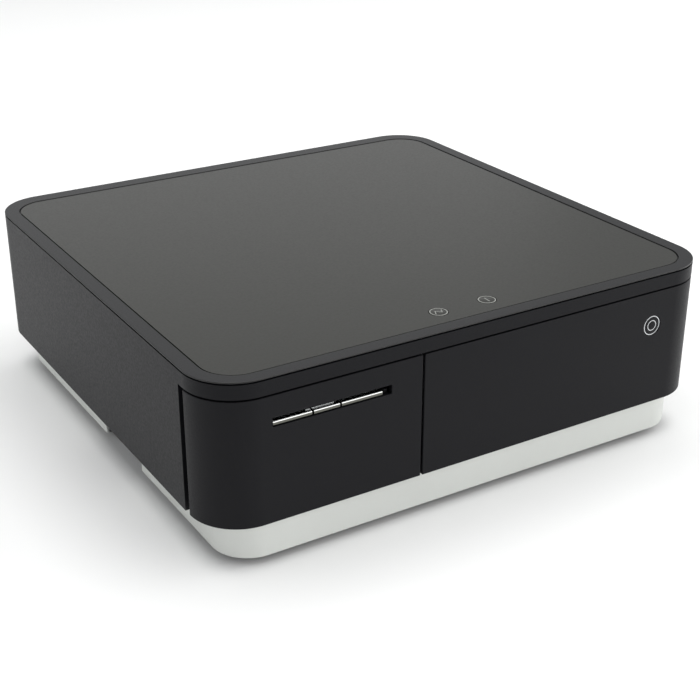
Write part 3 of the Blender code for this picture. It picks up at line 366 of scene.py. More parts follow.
# ---------------------------------------------------------------- housing
# One ABS moulding: the side and rear walls and the band over the front panels, with windows for
# the sockets at the rear. Its outside has a fine spark-eroded grain.
# Moulded black ABS: near black, low sheen that lifts at a low angle.
case_black = grained("black_abs_grained", "#131316", 0.44, 1.1, 0.03, 0.13)
CASE_WALL = 0.0025
CORNER_R = 0.026
low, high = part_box("body_housing")
X1, Y1 = high.x, high.y
BODY_LOW, HOUSING_TOP = low.z, high.z
PANEL_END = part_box("printer_cover")[1].y
PANEL_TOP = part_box("printer_cover")[1].z
BAND_GAP = 0.001
SIDE_SEAM = 0.0045
WINDOW_GAP = 0.0005
BAND_LOW = PANEL_TOP + BAND_GAP
SIDE_START = PANEL_END + SIDE_SEAM
shell = box((-X1, X1), (-Y1, Y1), (BODY_LOW, HOUSING_TOP), CORNER_R)
room = box(
    (-X1 + CASE_WALL, X1 - CASE_WALL), (-Y1 + CASE_WALL, Y1 - CASE_WALL), (0, 1),
    CORNER_R - CASE_WALL,
)
opening = box((-1, 1), (-1, SIDE_START), (0, BAND_LOW))
windows = []
for node in ("dc_inlet", "usb_device_socket", "usb_host_socket"):
    low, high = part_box(node)
    windows.append(
        box((low.x - WINDOW_GAP, high.x + WINDOW_GAP), (Y1 - 0.004, Y1 + 0.01),
            (low.z - 0.0008, high.z + WINDOW_GAP), 0.0004, 1, steps=3)
    )
# The low screw beside the sockets stands further in than the other three.
BACK_SCREW_R = 0.0026
COUNTERBORE = 0.0018
SCREW_X = 0.112
SCREW_INSET = 0.0062
low_z, high_z = BODY_LOW + SCREW_INSET, HOUSING_TOP - SCREW_INSET
back_screws = [(-0.040, low_z), (-SCREW_X, high_z), (SCREW_X, low_z), (SCREW_X, high_z)]
wells = [rod("Y", (x, Y1, z), BACK_SCREW_R + 0.0004, 2 * COUNTERBORE, 48) for x, z in back_screws]
housing = finished("case_housing", shell, case_black, [room, opening, *windows, *wells], edge=0.0005)
stands_for(housing, "body_housing")

# A thin inner lip closes the seam to the front panels at each side, so no steel shows in it.
LIP_T = 0.0006
LIP_ROOT = 0.004
lip_x = X1 - CASE_WALL - 0.0002
lip_z = (BODY_LOW + 0.002, BAND_LOW)
for side, sign in (("left", -1), ("right", 1)):
    strip = box((sign * (lip_x - LIP_T), sign * lip_x), (PANEL_END + 0.0003, SIDE_START + LIP_ROOT),
                lip_z)
    root = box((sign * (lip_x - LIP_T), sign * (lip_x + 0.0004)),
               (SIDE_START + 0.0005, SIDE_START + LIP_ROOT), lip_z)
    lip = finished("seam_lip_" + side, strip, inner_black, joins=[root], edge=0.0001,
                   edge_steps=2)
    rides(lip, "enclosure")

# ---------------------------------------------------------------- top cover and inlaid sheet
# The rim is a thin ABS frame with a satin face, and the sheet laid in it is hard-coated plastic.
# A fine dark gap is left all round the sheet, and a shadow gap below the rim.
# Satin black ABS of the rim, a shade lighter and smoother than the housing.
rim_black = grained("black_abs_satin", "#1b1b1c", 0.38, 1.0, 0.02, 0.36)
# Hard-coated sheet: even satin grey with the softest grain.
sheet_grey = grained("grey_hard_coat", "#2a2a26", 0.33, 1.3, 0.012, 0.44, 0.0, 0.03)
cover_low, cover_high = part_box("top_cover")
sheet_low, sheet_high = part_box("top_sheet")
RIM = 0.0008
LIP = 0.0033
SHEET_GAP = 0.0008
SHEET_R = 0.0173
BUTTON_HOLE_R = 0.00505
button_centres = {name: middle_of(name) for name in ("feed_button", "power_button")}
rim = box((-X1, X1), (-Y1, Y1), (cover_high.z - RIM, cover_high.z), CORNER_R)
body = box(
    (-X1 + LIP, X1 - LIP), (-Y1 + LIP, Y1 - LIP), (cover_low.z, cover_high.z - RIM / 2),
    CORNER_R - LIP,
)
bed = box(
    (sheet_low.x - SHEET_GAP, sheet_high.x + SHEET_GAP),
    (sheet_low.y - SHEET_GAP, sheet_high.y + SHEET_GAP),
    (sheet_low.z - 0.0003, 1),
    SHEET_R + SHEET_GAP,
)


def button_holes():
    return [rod("Z", (c.x, c.y, cover_high.z), BUTTON_HOLE_R, 0.012) for c in button_centres.values()]


cover = finished("top_rim", rim, rim_black, [bed, *button_holes()], [body], edge=0.0003)
stands_for(cover, "top_cover")

sheet = box((sheet_low.x, sheet_high.x), (sheet_low.y, sheet_high.y), (sheet_low.z, sheet_high.z),
            SHEET_R)
inlay = finished("top_inlay", sheet, sheet_grey, button_holes(), edge=0.00012, edge_steps=2)
stands_for(inlay, "top_sheet")

# ---------------------------------------------------------------- buttons on the top
# Round caps, flush with the sheet. Each carries a thin printed ring and a plain sign:
# a short bar for power, a bent line for paper feed.
# Screen-printed light grey ink, slightly raised and matt.
print_ink = grained("light_grey_ink", "#868783", 0.6, 0.5, 0.01)
INK_T = 0.00006
RING_R = 0.0046
LINE = 0.00062
POWER_SIGN = ((0, -0.0021), (0, 0.0021))
FEED_SIGN = ((-0.0026, -0.0016), (-0.0013, 0.0012), (0.0013, -0.0012), (0.0026, 0.0016))


def stroke(points, width, z):
    """A printed line through points, as a flat bar of the given width with round ends."""
    forms = []
    for (x0, y0), (x1, y1) in zip(points, points[1:]):
        run = Vector((x1 - x0, y1 - y0, 0))
        bar = box((-width / 2, width / 2), (-run.length / 2, run.length / 2), (0, INK_T))
        turn = Matrix.Rotation(math.atan2(-run.x, run.y), 4, "Z")
        place = Matrix.Translation(((x0 + x1) / 2, (y0 + y1) / 2, z))
        bmesh.ops.transform(bar, matrix=place @ turn, verts=bar.verts)
        forms.append(bar)
    for x, y in points:
        forms.append(rod("Z", (x, y, z + INK_T / 2), width / 2, INK_T, 16))
    return forms


for name, centre in button_centres.items():
    low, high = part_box(name)
    r = (high.x - low.x) / 2
    h = high.z - low.z
    cap = turned(
        name + "_cap",
        [(0, h), (r - 0.0002, h), (r - 0.00006, h - 0.00006), (r, h - 0.0002), (r, 0.0008),
         (r - 0.0008, 0.0008), (r - 0.0008, 0), (0, 0)],
        (centre.x, centre.y, low.z),
        "Z",
        sheet_grey,
        64,
    )
    stands_for(cap, name)
    top = high.z + 0.00001
    ring = rod("Z", (centre.x, centre.y, top + INK_T / 2), RING_R, INK_T, 64)
    inside = rod("Z", (centre.x, centre.y, top), RING_R - LINE, INK_T * 4, 64)
    printed = finished(name + "_ring", ring, print_ink, [inside], edge=0)
    bent = name == "feed_button"
    path = FEED_SIGN if bent else POWER_SIGN
    signs = stroke([(centre.x + x, centre.y + y) for x, y in path],
                   LINE * 0.85 if bent else LINE, top)
    sign = finished(name + "_sign", signs[0], print_ink, joins=signs[1:], edge=0)
    for mark in (printed, sign):
        rides(mark, name)


# ---------------------------------------------------------------- front panels
# Two ABS mouldings that wrap the front corners: the printer cover at the left with the paper
# slot, and the drawer front at the right. Their edges are broken by a small radius.
PANEL_WALL = 0.003


def panel_forms(x_off):
    """A front panel's outer form and what is cut from it."""
    whole = box((-X1, X1), (-Y1, Y1), (BODY_LOW, PANEL_TOP), CORNER_R)
    hollow = box(
        (-X1 + PANEL_WALL, X1 - PANEL_WALL), (-Y1 + PANEL_WALL, Y1 - PANEL_WALL), (0, 1),
        CORNER_R - PANEL_WALL,
    )
    behind = box((-1, 1), (PANEL_END, 1), (0, 1))
    return whole, [hollow, behind, box(x_off, (-1, 1), (0, 1))]


cover_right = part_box("printer_cover")[1].x
SLOT_X = (-0.1186, -0.0550)
SLOT_Z = (0.0743, 0.0790)
whole, cuts = panel_forms((cover_right, 1))
slot_cut = box(SLOT_X, (-1, -Y1 + PANEL_WALL + 0.001), SLOT_Z)
front_cover = finished("printer_cover_panel", whole, case_black, [*cuts, slot_cut], edge=0.0004)
stands_for(front_cover, "printer_cover")

drawer_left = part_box("drawer_front")[0].x
badge_low, badge_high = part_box("front_badge")
badge = middle_of("front_badge")
whole, cuts = panel_forms((-1, drawer_left))
badge_r = (badge_high.x - badge_low.x) / 2
seat = rod("Y", (badge.x, -Y1, badge.z), badge_r + 0.0003, 0.0022)
front_panel = finished("drawer_front_panel", whole, case_black, [*cuts, seat], edge=0.0004)
stands_for(front_panel, "drawer_front")

# ---------------------------------------------------------------- badge
# A small black disc with two thin chromed rings, glued in a shallow seat. It bears no mark.
# Satin chrome: bright, with a light turned grain.
satin_chrome = grained("satin_chrome", "#c6c8ca", 0.2, 0.5, 0.006, 0.5, 1.0, 0.02)
t = badge_high.y - badge_low.y
field = turned(
    "badge_field",
    [(0, t * 0.75), (badge_r * 0.97, t * 0.75), (badge_r, t * 0.6), (badge_r, 0), (0, 0)],
    (badge.x, badge_high.y, badge.z), "Y", case_black, 64,
)
stands_for(field, "front_badge")
for name, r_out, r_in in (("outer", 0.99, 0.9), ("inner", 0.54, 0.46)):
    ring = turned(
        f"badge_ring_{name}",
        [(badge_r * r, t * h) for r, h in
         ((r_in, 0.6), (r_in, 0.95), (r_in + 0.02, 1.0), (r_out - 0.02, 1.0), (r_out, 0.95),
          (r_out, 0.6), (r_in, 0.6))],
        (badge.x, badge_high.y, badge.z), "Y", satin_chrome, 64,
    )
    rides(ring, "drawer")

# ---------------------------------------------------------------- bars in the paper slot
# Three bars of plated zinc along the lower lip of the slot, rounded over at the top. The middle
# one is the release lever of the cover. A thin steel paper guide hangs behind the slot's upper
# edge, and its lower edge shows above the bars.
# Nickel plating: glossy where it rounds over and brushed on its upright face. Its colour is a painted
# highlight: light on faces that point up and mid grey on the upright face.
nickel_painted_highlight, tree, shader = new_material("nickel_plating_painted_highlight")
shader.inputs["Metallic"].default_value = 1.0
facing = add(tree, "ShaderNodeNewGeometry").outputs["Normal"]
upward = add(tree, "ShaderNodeSeparateXYZ", [("Vector", facing)]).outputs["Z"]
polish_and_painted_highlight = add(tree, "ShaderNodeMapRange", [("Value", upward)], From_Min=0.12, From_Max=0.45)
brushing = add(tree, "ShaderNodeTexNoise",
               [("Vector", add(tree, "ShaderNodeTexCoord").outputs["Object"])], Scale=1000 / 0.6)
# The colour turns from mid grey to light as the face points up: a painted highlight on the top of
# each bar.
tone = add(tree, "ShaderNodeMix", [("Factor", polish_and_painted_highlight.outputs["Result"])], data_type="RGBA")
tone.inputs[6].default_value = linear("#65655f")
tone.inputs[7].default_value = linear("#cfd0ce")
matt = add(tree, "ShaderNodeMapRange", [("Value", brushing.outputs["Fac"])],
           To_Min=0.22, To_Max=0.38)
gloss = add(tree, "ShaderNodeMapRange",
            [("Value", polish_and_painted_highlight.outputs["Result"]), ("To Min", matt.outputs["Result"])], To_Max=0.14)
tree.links.new(tone.outputs[2], shader.inputs["Base Color"])
tree.links.new(gloss.outputs["Result"], shader.inputs["Roughness"])
BAR_H = 0.0019
TRIM_DEPTH = 0.0045
LEVER_HUB_R = 0.0014
LEVER_PIVOT_DROP = 0.0085
BUCKET_SIDE = 0.0062
GUIDE_BACK = 0.0029
GUIDE_T = 0.0004
GUIDE_TOP = PANEL_TOP - 0.006
bucket_low, bucket_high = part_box("roll_bucket")
bucket_in = (bucket_low.x + BUCKET_SIDE, bucket_high.x - BUCKET_SIDE)
for node in ("exit_trim_left", "exit_trim_right", "cover_release_lever"):
    low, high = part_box(node)
    bar_low = high.z - BAR_H
    lever = node == "cover_release_lever"
    depth = high.y - low.y if lever else TRIM_DEPTH
    bar_form = box(
        (low.x, high.x), (low.y, low.y + depth), (bar_low, high.z), BAR_H * 0.48, 0,
        lambda m: m.y < 0 and m.z > 0, 10,
    )
    if lever:
        hub = (low.y + depth - LEVER_HUB_R / 2, bar_low - LEVER_PIVOT_DROP)
        back = [
            box((low.x, high.x), (hub[0] - LEVER_HUB_R / 2, hub[0] + LEVER_HUB_R / 2),
                (hub[1], bar_low + BAR_H / 2)),
            rod("X", ((low.x + high.x) / 2, *hub), LEVER_HUB_R, high.x - low.x - 0.0003, 32),
        ]
        guide = finished(
            "paper_guide_strip",
            box((low.x - 0.0029, high.x - 0.0016),
                (low.y + GUIDE_BACK, low.y + GUIDE_BACK + GUIDE_T), (high.z + 0.00015, GUIDE_TOP)),
            satin_chrome, edge=0.00012, edge_steps=2,
        )
        rides(guide, "printer_cover")
    else:
        ends = (max(low.x, bucket_in[0]), min(high.x, bucket_in[1]))
        back = [box(ends, (high.y - 0.0012, high.y), (low.z, bar_low + BAR_H / 2))]
    bar = finished(node + "_bar", bar_form, nickel_painted_highlight, joins=back, edge=0.00012, edge_steps=2)
    stands_for(bar, node)

# ---------------------------------------------------------------- screws
# Zinc-plated pan-head screws with a cross recess. They hold the base trays, the housing's back
# and the print frame, and sit in counterbores where they show.
# Zinc-plated steel, bright and slightly blue, with a little grain from the plating bath.
zinc_steel = grained("zinc_plated_steel", "#aeb2b6", 0.33, 0.7, 0.008, 0.5, 1.0, 0.08)


def repeat_tree():
    """Geometry Nodes: rows of copies of a piece, one row from each point of a mesh."""
    tree = bpy.data.node_groups.new("rows_of_a_piece", "GeometryNodeTree")
    for label, kind in (("Points", "Geometry"), ("Piece", "Object"), ("Count", "Int"),
                        ("Pitch", "Vector"), ("Finish", "Material")):
        tree.interface.new_socket(label, in_out="INPUT", socket_type="NodeSocket" + kind)
    tree.interface.new_socket("Whole", in_out="OUTPUT", socket_type="NodeSocketGeometry")
    given = add(tree, "NodeGroupInput").outputs
    line = add(tree, "GeometryNodeMeshLine",
               [("Count", given["Count"]), ("Offset", given["Pitch"])])
    rows = add(tree, "GeometryNodeInstanceOnPoints",
               [("Points", given["Points"]), ("Instance", line.outputs["Mesh"])])
    places = add(tree, "GeometryNodeRealizeInstances", [("Geometry", rows.outputs["Instances"])])
    piece = add(tree, "GeometryNodeObjectInfo", [("Object", given["Piece"])])
    copies = add(tree, "GeometryNodeInstanceOnPoints",
                 [("Points", places.outputs["Geometry"]), ("Instance", piece.outputs["Geometry"])])
    whole = add(tree, "GeometryNodeRealizeInstances",
                [("Geometry", copies.outputs["Instances"])])
    done = add(tree, "GeometryNodeSetMaterial",
               [("Geometry", whole.outputs["Geometry"]), ("Material", given["Finish"])])
    add(tree, "NodeGroupOutput", [("Whole", done.outputs["Geometry"])])
    return tree


rows_of_a_piece = repeat_tree()


def from_tree(name, tree, base, values, finish):
    """Runs a Geometry Nodes tree on a mesh and keeps the result as a plain mesh."""
    made = bpy.data.objects.new(name, base)
    bpy.context.scene.collection.objects.link(made)
    run = changed_by(made, "NODES", node_group=tree)
    for item in tree.interface.items_tree:
        if item.in_out == "INPUT" and item.name in values:
            run[item.identifier] = values[item.name]
    graph = bpy.context.evaluated_depsgraph_get()
    mesh = bpy.data.meshes.new_from_object(made.evaluated_get(graph))
    made.modifiers.clear()
    made.data = mesh
    mesh.name = name
    mesh.materials.clear()
    mesh.materials.append(finish)
    mesh.shade_smooth()
    mesh.set_sharp_from_angle(angle=math.radians(35))
    return made


def repeated(name, finish, piece, points, count=1, pitch=(0, 0, 0), body="enclosure"):
    """Copies of one small piece at points, or in rows from them, on one body."""
    base = bpy.data.meshes.new(name + "_points")
    base.from_pydata(points, [], [])
    values = {"Piece": piece, "Count": count, "Pitch": tuple(map(float, pitch)), "Finish": finish}
    made = from_tree(name, rows_of_a_piece, base, values, finish)
    bpy.data.meshes.remove(piece.data)
    rides(made, body)


def screw_head(radius, axis, sign):
    """A pan head about the origin, its face towards axis times sign."""
    h = radius * 0.62
    head = turned(
        "screw_head",
        [(0, h), (radius * 0.45, h * 0.98), (radius * 0.8, h * 0.82), (radius * 0.97, h * 0.5),
         (radius, h * 0.2), (radius, 0), (0, 0)],
        (0, 0, 0), "Z", zinc_steel, 24,
    )
    shape = bmesh.new()
    shape.from_mesh(head.data)
    bpy.data.meshes.remove(head.data)
    arm, wide = radius * 0.55, radius * 0.13
    cross = [box((-arm, arm), (-wide, wide), (h * 0.35, 1)),
             box((-wide, wide), (-arm, arm), (h * 0.35, 1))]
    made = finished("screw_head", shape, zinc_steel, cross, edge=0)
    made.modifiers.clear()
    turn = {"Z": Matrix.Identity(4), "Y": Matrix.Rotation(-math.pi / 2, 4, "X")}[axis]
    flip = Matrix.Identity(4) if sign > 0 else Matrix.Rotation(math.pi, 4, "X")
    made.data.transform(flip @ turn)
    return made


SCREW_R = 0.0026
SCREW_SEAT = 0.0062
BOSS_LONG = 0.0116
underside = []
for half in ("front", "rear"):
    low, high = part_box("base_frame_" + half)
    for share_x in (0.28, 0.72):
        for share_y in (0.22, 0.78):
            underside.append((low.x + (high.x - low.x) * share_x,
                              low.y + (high.y - low.y) * share_y, low.z + SCREW_SEAT))
bosses = [rod("Z", (x, y, z + 0.006), SCREW_R * 1.7, BOSS_LONG) for x, y, z in underside]
for half, part in (("front", bosses[:4]), ("rear", bosses[4:])):
    group = finished("screw_bosses_" + half, part[0], inner_black, joins=part[1:], edge=0.0002)
    rides(group, "enclosure")
repeated("underside_screws", zinc_steel, screw_head(SCREW_R, "Z", -1), underside)
repeated("housing_back_screws", zinc_steel, screw_head(BACK_SCREW_R, "Y", 1),
         [(x, Y1 - COUNTERBORE, z) for x, z in back_screws])

# ---------------------------------------------------------------- sheet-steel frame
# Chassis plate, bay partition and slide bracket, pressed from zinc-plated sheet, and the folded
# print frame. Their cut edges are broken by a hair.


def softened(node, finish, edge=0.0002, steps=2):
    """A piece with its CAD node's shape and finely rounded edges."""
    shape = bmesh.new()
    shape.from_mesh(frame["nodes"][node].data)
    bmesh.ops.remove_doubles(shape, verts=shape.verts, dist=1e-6)
    bmesh.ops.dissolve_limit(shape, angle_limit=math.radians(1), verts=shape.verts,
                             edges=shape.edges)
    made = finished(node + "_piece", shape, finish, edge=edge, edge_steps=steps)
    stands_for(made, node)


def rolled(name, colour, rough, line_mm, along):
    """Rolled sheet: fine lines along one axis, over a slow drift."""
    made, tree, shader = new_material(name)
    shader.inputs["Metallic"].default_value = 1.0
    place = add(tree, "ShaderNodeTexCoord").outputs["Object"]
    stretch = [1.0 if axis == along else 30.0 for axis in range(3)]
    lines = add(tree, "ShaderNodeMapping", [("Vector", place)], Scale=stretch)
    grain = add(tree, "ShaderNodeTexNoise", [("Vector", lines.outputs["Vector"])],
                Scale=1000 / line_mm / 30, Detail=3.0)
    spangle = add(tree, "ShaderNodeTexVoronoi", [("Vector", place)], Scale=1000 / 6.0)
    tone = add(tree, "ShaderNodeMix", [("Factor", spangle.outputs["Distance"])], data_type="RGBA")
    tone.inputs[6].default_value = linear(colour)
    tone.inputs[7].default_value = tuple(c * 0.82 for c in linear(colour)[:3]) + (1.0,)
    gloss = add(tree, "ShaderNodeMapRange", [("Value", grain.outputs["Fac"])],
                To_Min=rough * 0.7, To_Max=rough * 1.3)
    bump = add(tree, "ShaderNodeBump", [("Height", grain.outputs["Fac"])], Distance=0.00001)
    wired(tree, shader, tone.outputs[2], gloss, bump)
    return made


# Zinc-coated sheet, rolled front to back: a faint spangle about 6 mm across under fine lines.
zinc_sheet = rolled("zinc_coated_sheet", "#b3b7ba", 0.36, 0.8, 1)
for node in ("chassis_plate", "bay_partition", "slide_bracket", "print_frame"):
    softened(node, zinc_sheet)
frame_low, frame_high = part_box("print_frame")
SCREW_IN = 0.008
repeated(
    "frame_screws", zinc_steel, screw_head(0.002, "Z", 1),
    [(x, y, frame_high.z) for x in (frame_low.x + SCREW_IN, frame_high.x - SCREW_IN)
     for y in (frame_low.y + 0.021, frame_high.y - SCREW_IN)],
)

# ---------------------------------------------------------------- drawer tray
# Deep open box of black ABS behind the drawer front, with a rounded floor and two ledges that
# carry the coin tray. It was moulded in one piece and screwed to the front.
TRAY_WALL = 0.002
TRAY_FLOOR_R = 0.003
tray_low, tray_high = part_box("drawer_tray")
tray_r = tray_high.x - (X1 - CORNER_R)


def front_right(m):
    return m.x > 0 and m.y < 0


def basin(x, y, z, corner, floor_round, keep):
    """The hollow of a moulded tray: rounded upright corners and a rounded floor edge."""
    shape = box(x, y, z, corner, 2, keep, 12)
    low_z = min(z)
    rim = [e for e in shape.edges if all(abs(v.co.z - low_z) < 1e-6 for v in e.verts)]
    bmesh.ops.bevel(shape, geom=rim, offset=floor_round, segments=6, profile=0.5, affect="EDGES")
    return shape


tray_in_x = (tray_low.x + TRAY_WALL, tray_high.x - TRAY_WALL)
tray_in_y = (tray_low.y + TRAY_WALL, tray_high.y - TRAY_WALL)
tray_floor = tray_low.z + TRAY_WALL
coin_low, coin_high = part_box("coin_tray")
outside = box((tray_low.x, tray_high.x), (tray_low.y, tray_high.y), (tray_low.z, tray_high.z),
              tray_r, 2, front_right, 12)
hollow = basin(tray_in_x, tray_in_y, (tray_floor, 0.2), tray_r - TRAY_WALL, TRAY_FLOOR_R,
               front_right)
tray = finished("drawer_tray_shell", outside, inner_black, [hollow], edge=0.0004)
stands_for(tray, "drawer_tray")
ledge_y = (tray_in_y[0] + 2 * (tray_r - TRAY_WALL), coin_high.y - tray_r + TRAY_WALL)
LEDGE = 0.0035
ledge_z = (tray_floor - 0.0005, coin_low.z - 0.0003)
for side, wall, inward in (("left", tray_in_x[0], 1), ("right", tray_in_x[1], -1)):
    ledge = finished(
        "coin_ledge_" + side, box((wall - inward * 0.0005, wall + inward * LEDGE), ledge_y, ledge_z),
        inner_black, edge=0.0004,
    )
    rides(ledge, "drawer")

# ---------------------------------------------------------------- coin tray
# Lift-out ABS moulding with eight scooped cups, so coins slide up the round floors to the hand.
# The rims between the cups are rounded over.
CUP_WALL = 0.0022
CUP_DEPTH = 0.027
CUP_ROUND = 0.011
coin_r = tray_r - TRAY_WALL - 0.0005
pitch_x = (coin_high.x - coin_low.x - CUP_WALL) / 4
pitch_y = (coin_high.y - coin_low.y - CUP_WALL) / 2
cups = []
for row in range(2):
    for column in range(4):
        x0 = coin_low.x + CUP_WALL + column * pitch_x
        y0 = coin_low.y + CUP_WALL + row * pitch_y
        corner_cup = row == 0 and column == 3
        start = y0 + coin_r * (1 - math.sqrt(0.5)) if corner_cup else y0
        cups.append(
            box((x0, x0 + pitch_x - CUP_WALL), (start, y0 + pitch_y - CUP_WALL),
                (coin_high.z - CUP_DEPTH, coin_high.z + CUP_ROUND), CUP_ROUND, 0,
                lambda m: m.z < 0, 14)
        )
coins = box((coin_low.x, coin_high.x), (coin_low.y, coin_high.y), (coin_low.z, coin_high.z),
            coin_r, 2, front_right, 12)
coin_insert = finished("coin_cups", coins, case_black, cups, edge=0.0007, edge_steps=4)
stands_for(coin_insert, "coin_tray")

# ---------------------------------------------------------------- note dividers
# Three leaning ABS plates behind the coins, with round upper corners, a finger notch and two
# stiffening ribs on the back. They snap into the tray's floor.
LEAN = math.radians(38)
DIVIDER_T = 0.0016
DIVIDER_R = 0.006
NOTCH_R = 0.020
NOTCH_RISE = 0.012
for index in range(1, 4):
    node = f"note_divider_{index}"
    low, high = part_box(node)
    long = (high.z - low.z - DIVIDER_T * math.sin(LEAN)) / math.cos(LEAN)
    half = (high.x - low.x) / 2
    plate = box((-half, half), (-DIVIDER_T / 2, DIVIDER_T / 2), (-long / 2, long / 2), DIVIDER_R, 1,
                lambda m: m.z > 0, 10)
    notch = rod("Y", (0, 0, long / 2 + NOTCH_RISE), NOTCH_R, 0.01, 96)
    back_z = (-long / 2 + 0.004, long / 2 - 0.012)
    backs = [box((x - 0.0008, x + 0.0008), (0, DIVIDER_T / 2 + 0.001), back_z)
             for x in (-half * 0.55, half * 0.55)]
    divider = finished(f"note_plate_{index}", plate, case_black, [notch], backs, edge=0.0004)
    divider.data.transform(Matrix.Translation((low + high) / 2) @ Matrix.Rotation(-LEAN, 4, "X"))
    stands_for(divider, node)

# ---------------------------------------------------------------- ball slides
# A fixed and a moving channel of zinc-plated steel on each side of the tray. Between them a thin
# strip cage carries two rows of steel balls.
BALL_R = 0.0011
CAGE_STRIP = 0.0004
for side in ("left", "right"):
    for member in ("outer", "inner"):
        softened(f"slide_{member}_{side}", zinc_sheet, 0.00025)
    low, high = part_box("slide_cage_" + side)
    wall = low.x if side == "left" else high.x - CAGE_STRIP
    strips = [
        box((low.x, high.x), (low.y, high.y), (z - CAGE_STRIP / 2, z + CAGE_STRIP / 2))
        for z in (low.z + BALL_R, high.z - BALL_R)
    ]
    web = box((wall, wall + CAGE_STRIP), (low.y, high.y), (low.z + BALL_R, high.z - BALL_R))
    cage = finished("ball_cage_" + side, web, zinc_steel, joins=strips, edge=0.0001, edge_steps=2)
    stands_for(cage, "slide_cage_" + side)
    ball_shape = bmesh.new()
    bmesh.ops.create_uvsphere(ball_shape, u_segments=16, v_segments=10, radius=BALL_R)
    pitch = (high.y - low.y - 4 * BALL_R) / 6
    repeated(
        "slide_balls_" + side, satin_chrome, loose("ball", ball_shape),
        [((low.x + high.x) / 2, low.y + 2 * BALL_R, z) for z in (low.z + BALL_R, high.z - BALL_R)],
        7, (0, pitch, 0), body_of_node["slide_cage_" + side],
    )

# ---------------------------------------------------------------- latch and ejector
# Behind the drawer a solenoid lifts a hooked lever off the drawer's strike, and a coil spring
# pushes the drawer out onto the slides.
for node in ("latch_lever", "latch_bracket", "drawer_strike"):
    softened(node, zinc_sheet)
softened("drawer_switch", inner_black, 0.0003)



def pin(name, node, axis, along, finish):
    """A turned pin or shaft with chamfered ends, in its CAD node's place."""
    low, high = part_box(node)
    chamfer = 0.0003
    half = (high[along] - low[along]) / 2
    r = (high[(along + 1) % 3] - low[(along + 1) % 3]) / 2
    made = turned(
        name,
        [(0, half), (r - chamfer, half), (r, half - chamfer), (r, -half + chamfer),
         (r - chamfer, -half), (0, -half)],
        (low + high) / 2, axis, finish, 40,
    )
    stands_for(made, node)


pin("latch_pivot", "latch_pin", "X", 0, satin_chrome)
pin("solenoid_core", "solenoid_plunger", "Z", 2, satin_chrome)

# Enamelled copper wire: red-brown and glossy, its turns about 0.4 mm apart. Its colour is painted
# darker in the groove between turns and lighter on each crown: painted shade.
enamel_wire, tree, shader = new_material("enamelled_copper_wire")
shader.inputs["Metallic"].default_value = 0.85
place = add(tree, "ShaderNodeTexCoord").outputs["Object"]
turns = add(tree, "ShaderNodeTexWave", [("Vector", place)], bands_direction="Z",
            Scale=2 * math.pi / 20 * 1000 / 0.8, Distortion=0.6)
# Dark in the grooves between turns and light on their crowns: painted shade across each turn.
tone = add(tree, "ShaderNodeMix", [("Factor", turns.outputs["Fac"])], data_type="RGBA")
tone.inputs[6].default_value = linear("#6d3416")
tone.inputs[7].default_value = linear("#b06a35")
bump = add(tree, "ShaderNodeBump", [("Height", turns.outputs["Fac"])], Distance=0.0001)
gloss = add(tree, "ShaderNodeMapRange", [("Value", turns.outputs["Fac"])], To_Min=0.42,
            To_Max=0.28)
wired(tree, shader, tone.outputs[2], gloss, bump)
# Unfilled acetal: milky off-white with a waxy sheen.
natural_acetal = grained("natural_acetal", "#d8d4c6", 0.42, 0.8, 0.01, 0.5)

low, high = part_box("solenoid_coil")
BOBBIN = 0.0012
YOKE_T = 0.0015
BORE_R = 0.0023
FREE = 0.0001


def coil_bore():
    y = middle_of("solenoid_plunger").y
    return rod("Z", ((low.x + high.x) / 2, y, (low.z + high.z) / 2), BORE_R, 0.1, 48)


winding = finished(
    "solenoid_winding",
    box((low.x + 0.001, high.x - 0.001), (low.y + 0.0006, high.y - 0.0016),
        (low.z + YOKE_T + BOBBIN, high.z - YOKE_T - BOBBIN), 0.0035),
    enamel_wire, [coil_bore()], edge=0.0002,
)
stands_for(winding, "solenoid_coil")
flanges = [
    box((low.x + 0.0003, high.x - 0.0003), (low.y + 0.0002, high.y - YOKE_T - FREE),
        (z, z + BOBBIN), 0.002)
    for z in (low.z + YOKE_T + FREE, high.z - YOKE_T - BOBBIN - FREE)
]
bobbin = finished("solenoid_bobbin", flanges[0], natural_acetal, [coil_bore()], flanges[1:],
                  edge=0.0002)
inside = box((-1, 1), (-1, high.y - YOKE_T), (low.z + YOKE_T, high.z - YOKE_T))
yoke = finished(
    "solenoid_yoke", box((low.x + 0.002, high.x - 0.002), (low.y, high.y), (low.z, high.z)),
    zinc_sheet, [inside, coil_bore()], edge=0.0002,
)
rides(bobbin, "enclosure")
rides(yoke, "enclosure")


def spring_tree():
    """Geometry Nodes: a coil spring along Z from its turns, radius, length and wire."""
    tree = bpy.data.node_groups.new("coil_spring", "GeometryNodeTree")
    tree.interface.new_socket("Start", in_out="INPUT", socket_type="NodeSocketGeometry")
    for label in ("Turns", "Radius", "Length", "Wire radius"):
        tree.interface.new_socket(label, in_out="INPUT", socket_type="NodeSocketFloat")
    tree.interface.new_socket("Finish", in_out="INPUT", socket_type="NodeSocketMaterial")
    tree.interface.new_socket("Spring", in_out="OUTPUT", socket_type="NodeSocketGeometry")
    given = add(tree, "NodeGroupInput").outputs
    helix = add(tree, "GeometryNodeCurveSpiral",
                [("Rotations", given["Turns"]), ("Start Radius", given["Radius"]),
                 ("End Radius", given["Radius"]), ("Height", given["Length"])], Resolution=36)
    wire = add(tree, "GeometryNodeCurvePrimitiveCircle", [("Radius", given["Wire radius"])],
               Resolution=12)
    tube = add(tree, "GeometryNodeCurveToMesh",
               [("Curve", helix.outputs["Curve"]), ("Profile Curve", wire.outputs["Curve"])],
               Fill_Caps=True)
    whole = add(tree, "GeometryNodeRealizeInstances", [("Geometry", tube.outputs["Mesh"])])
    done = add(tree, "GeometryNodeSetMaterial",
               [("Geometry", whole.outputs["Geometry"]), ("Material", given["Finish"])])
    add(tree, "NodeGroupOutput", [("Spring", done.outputs["Geometry"])])
    return tree


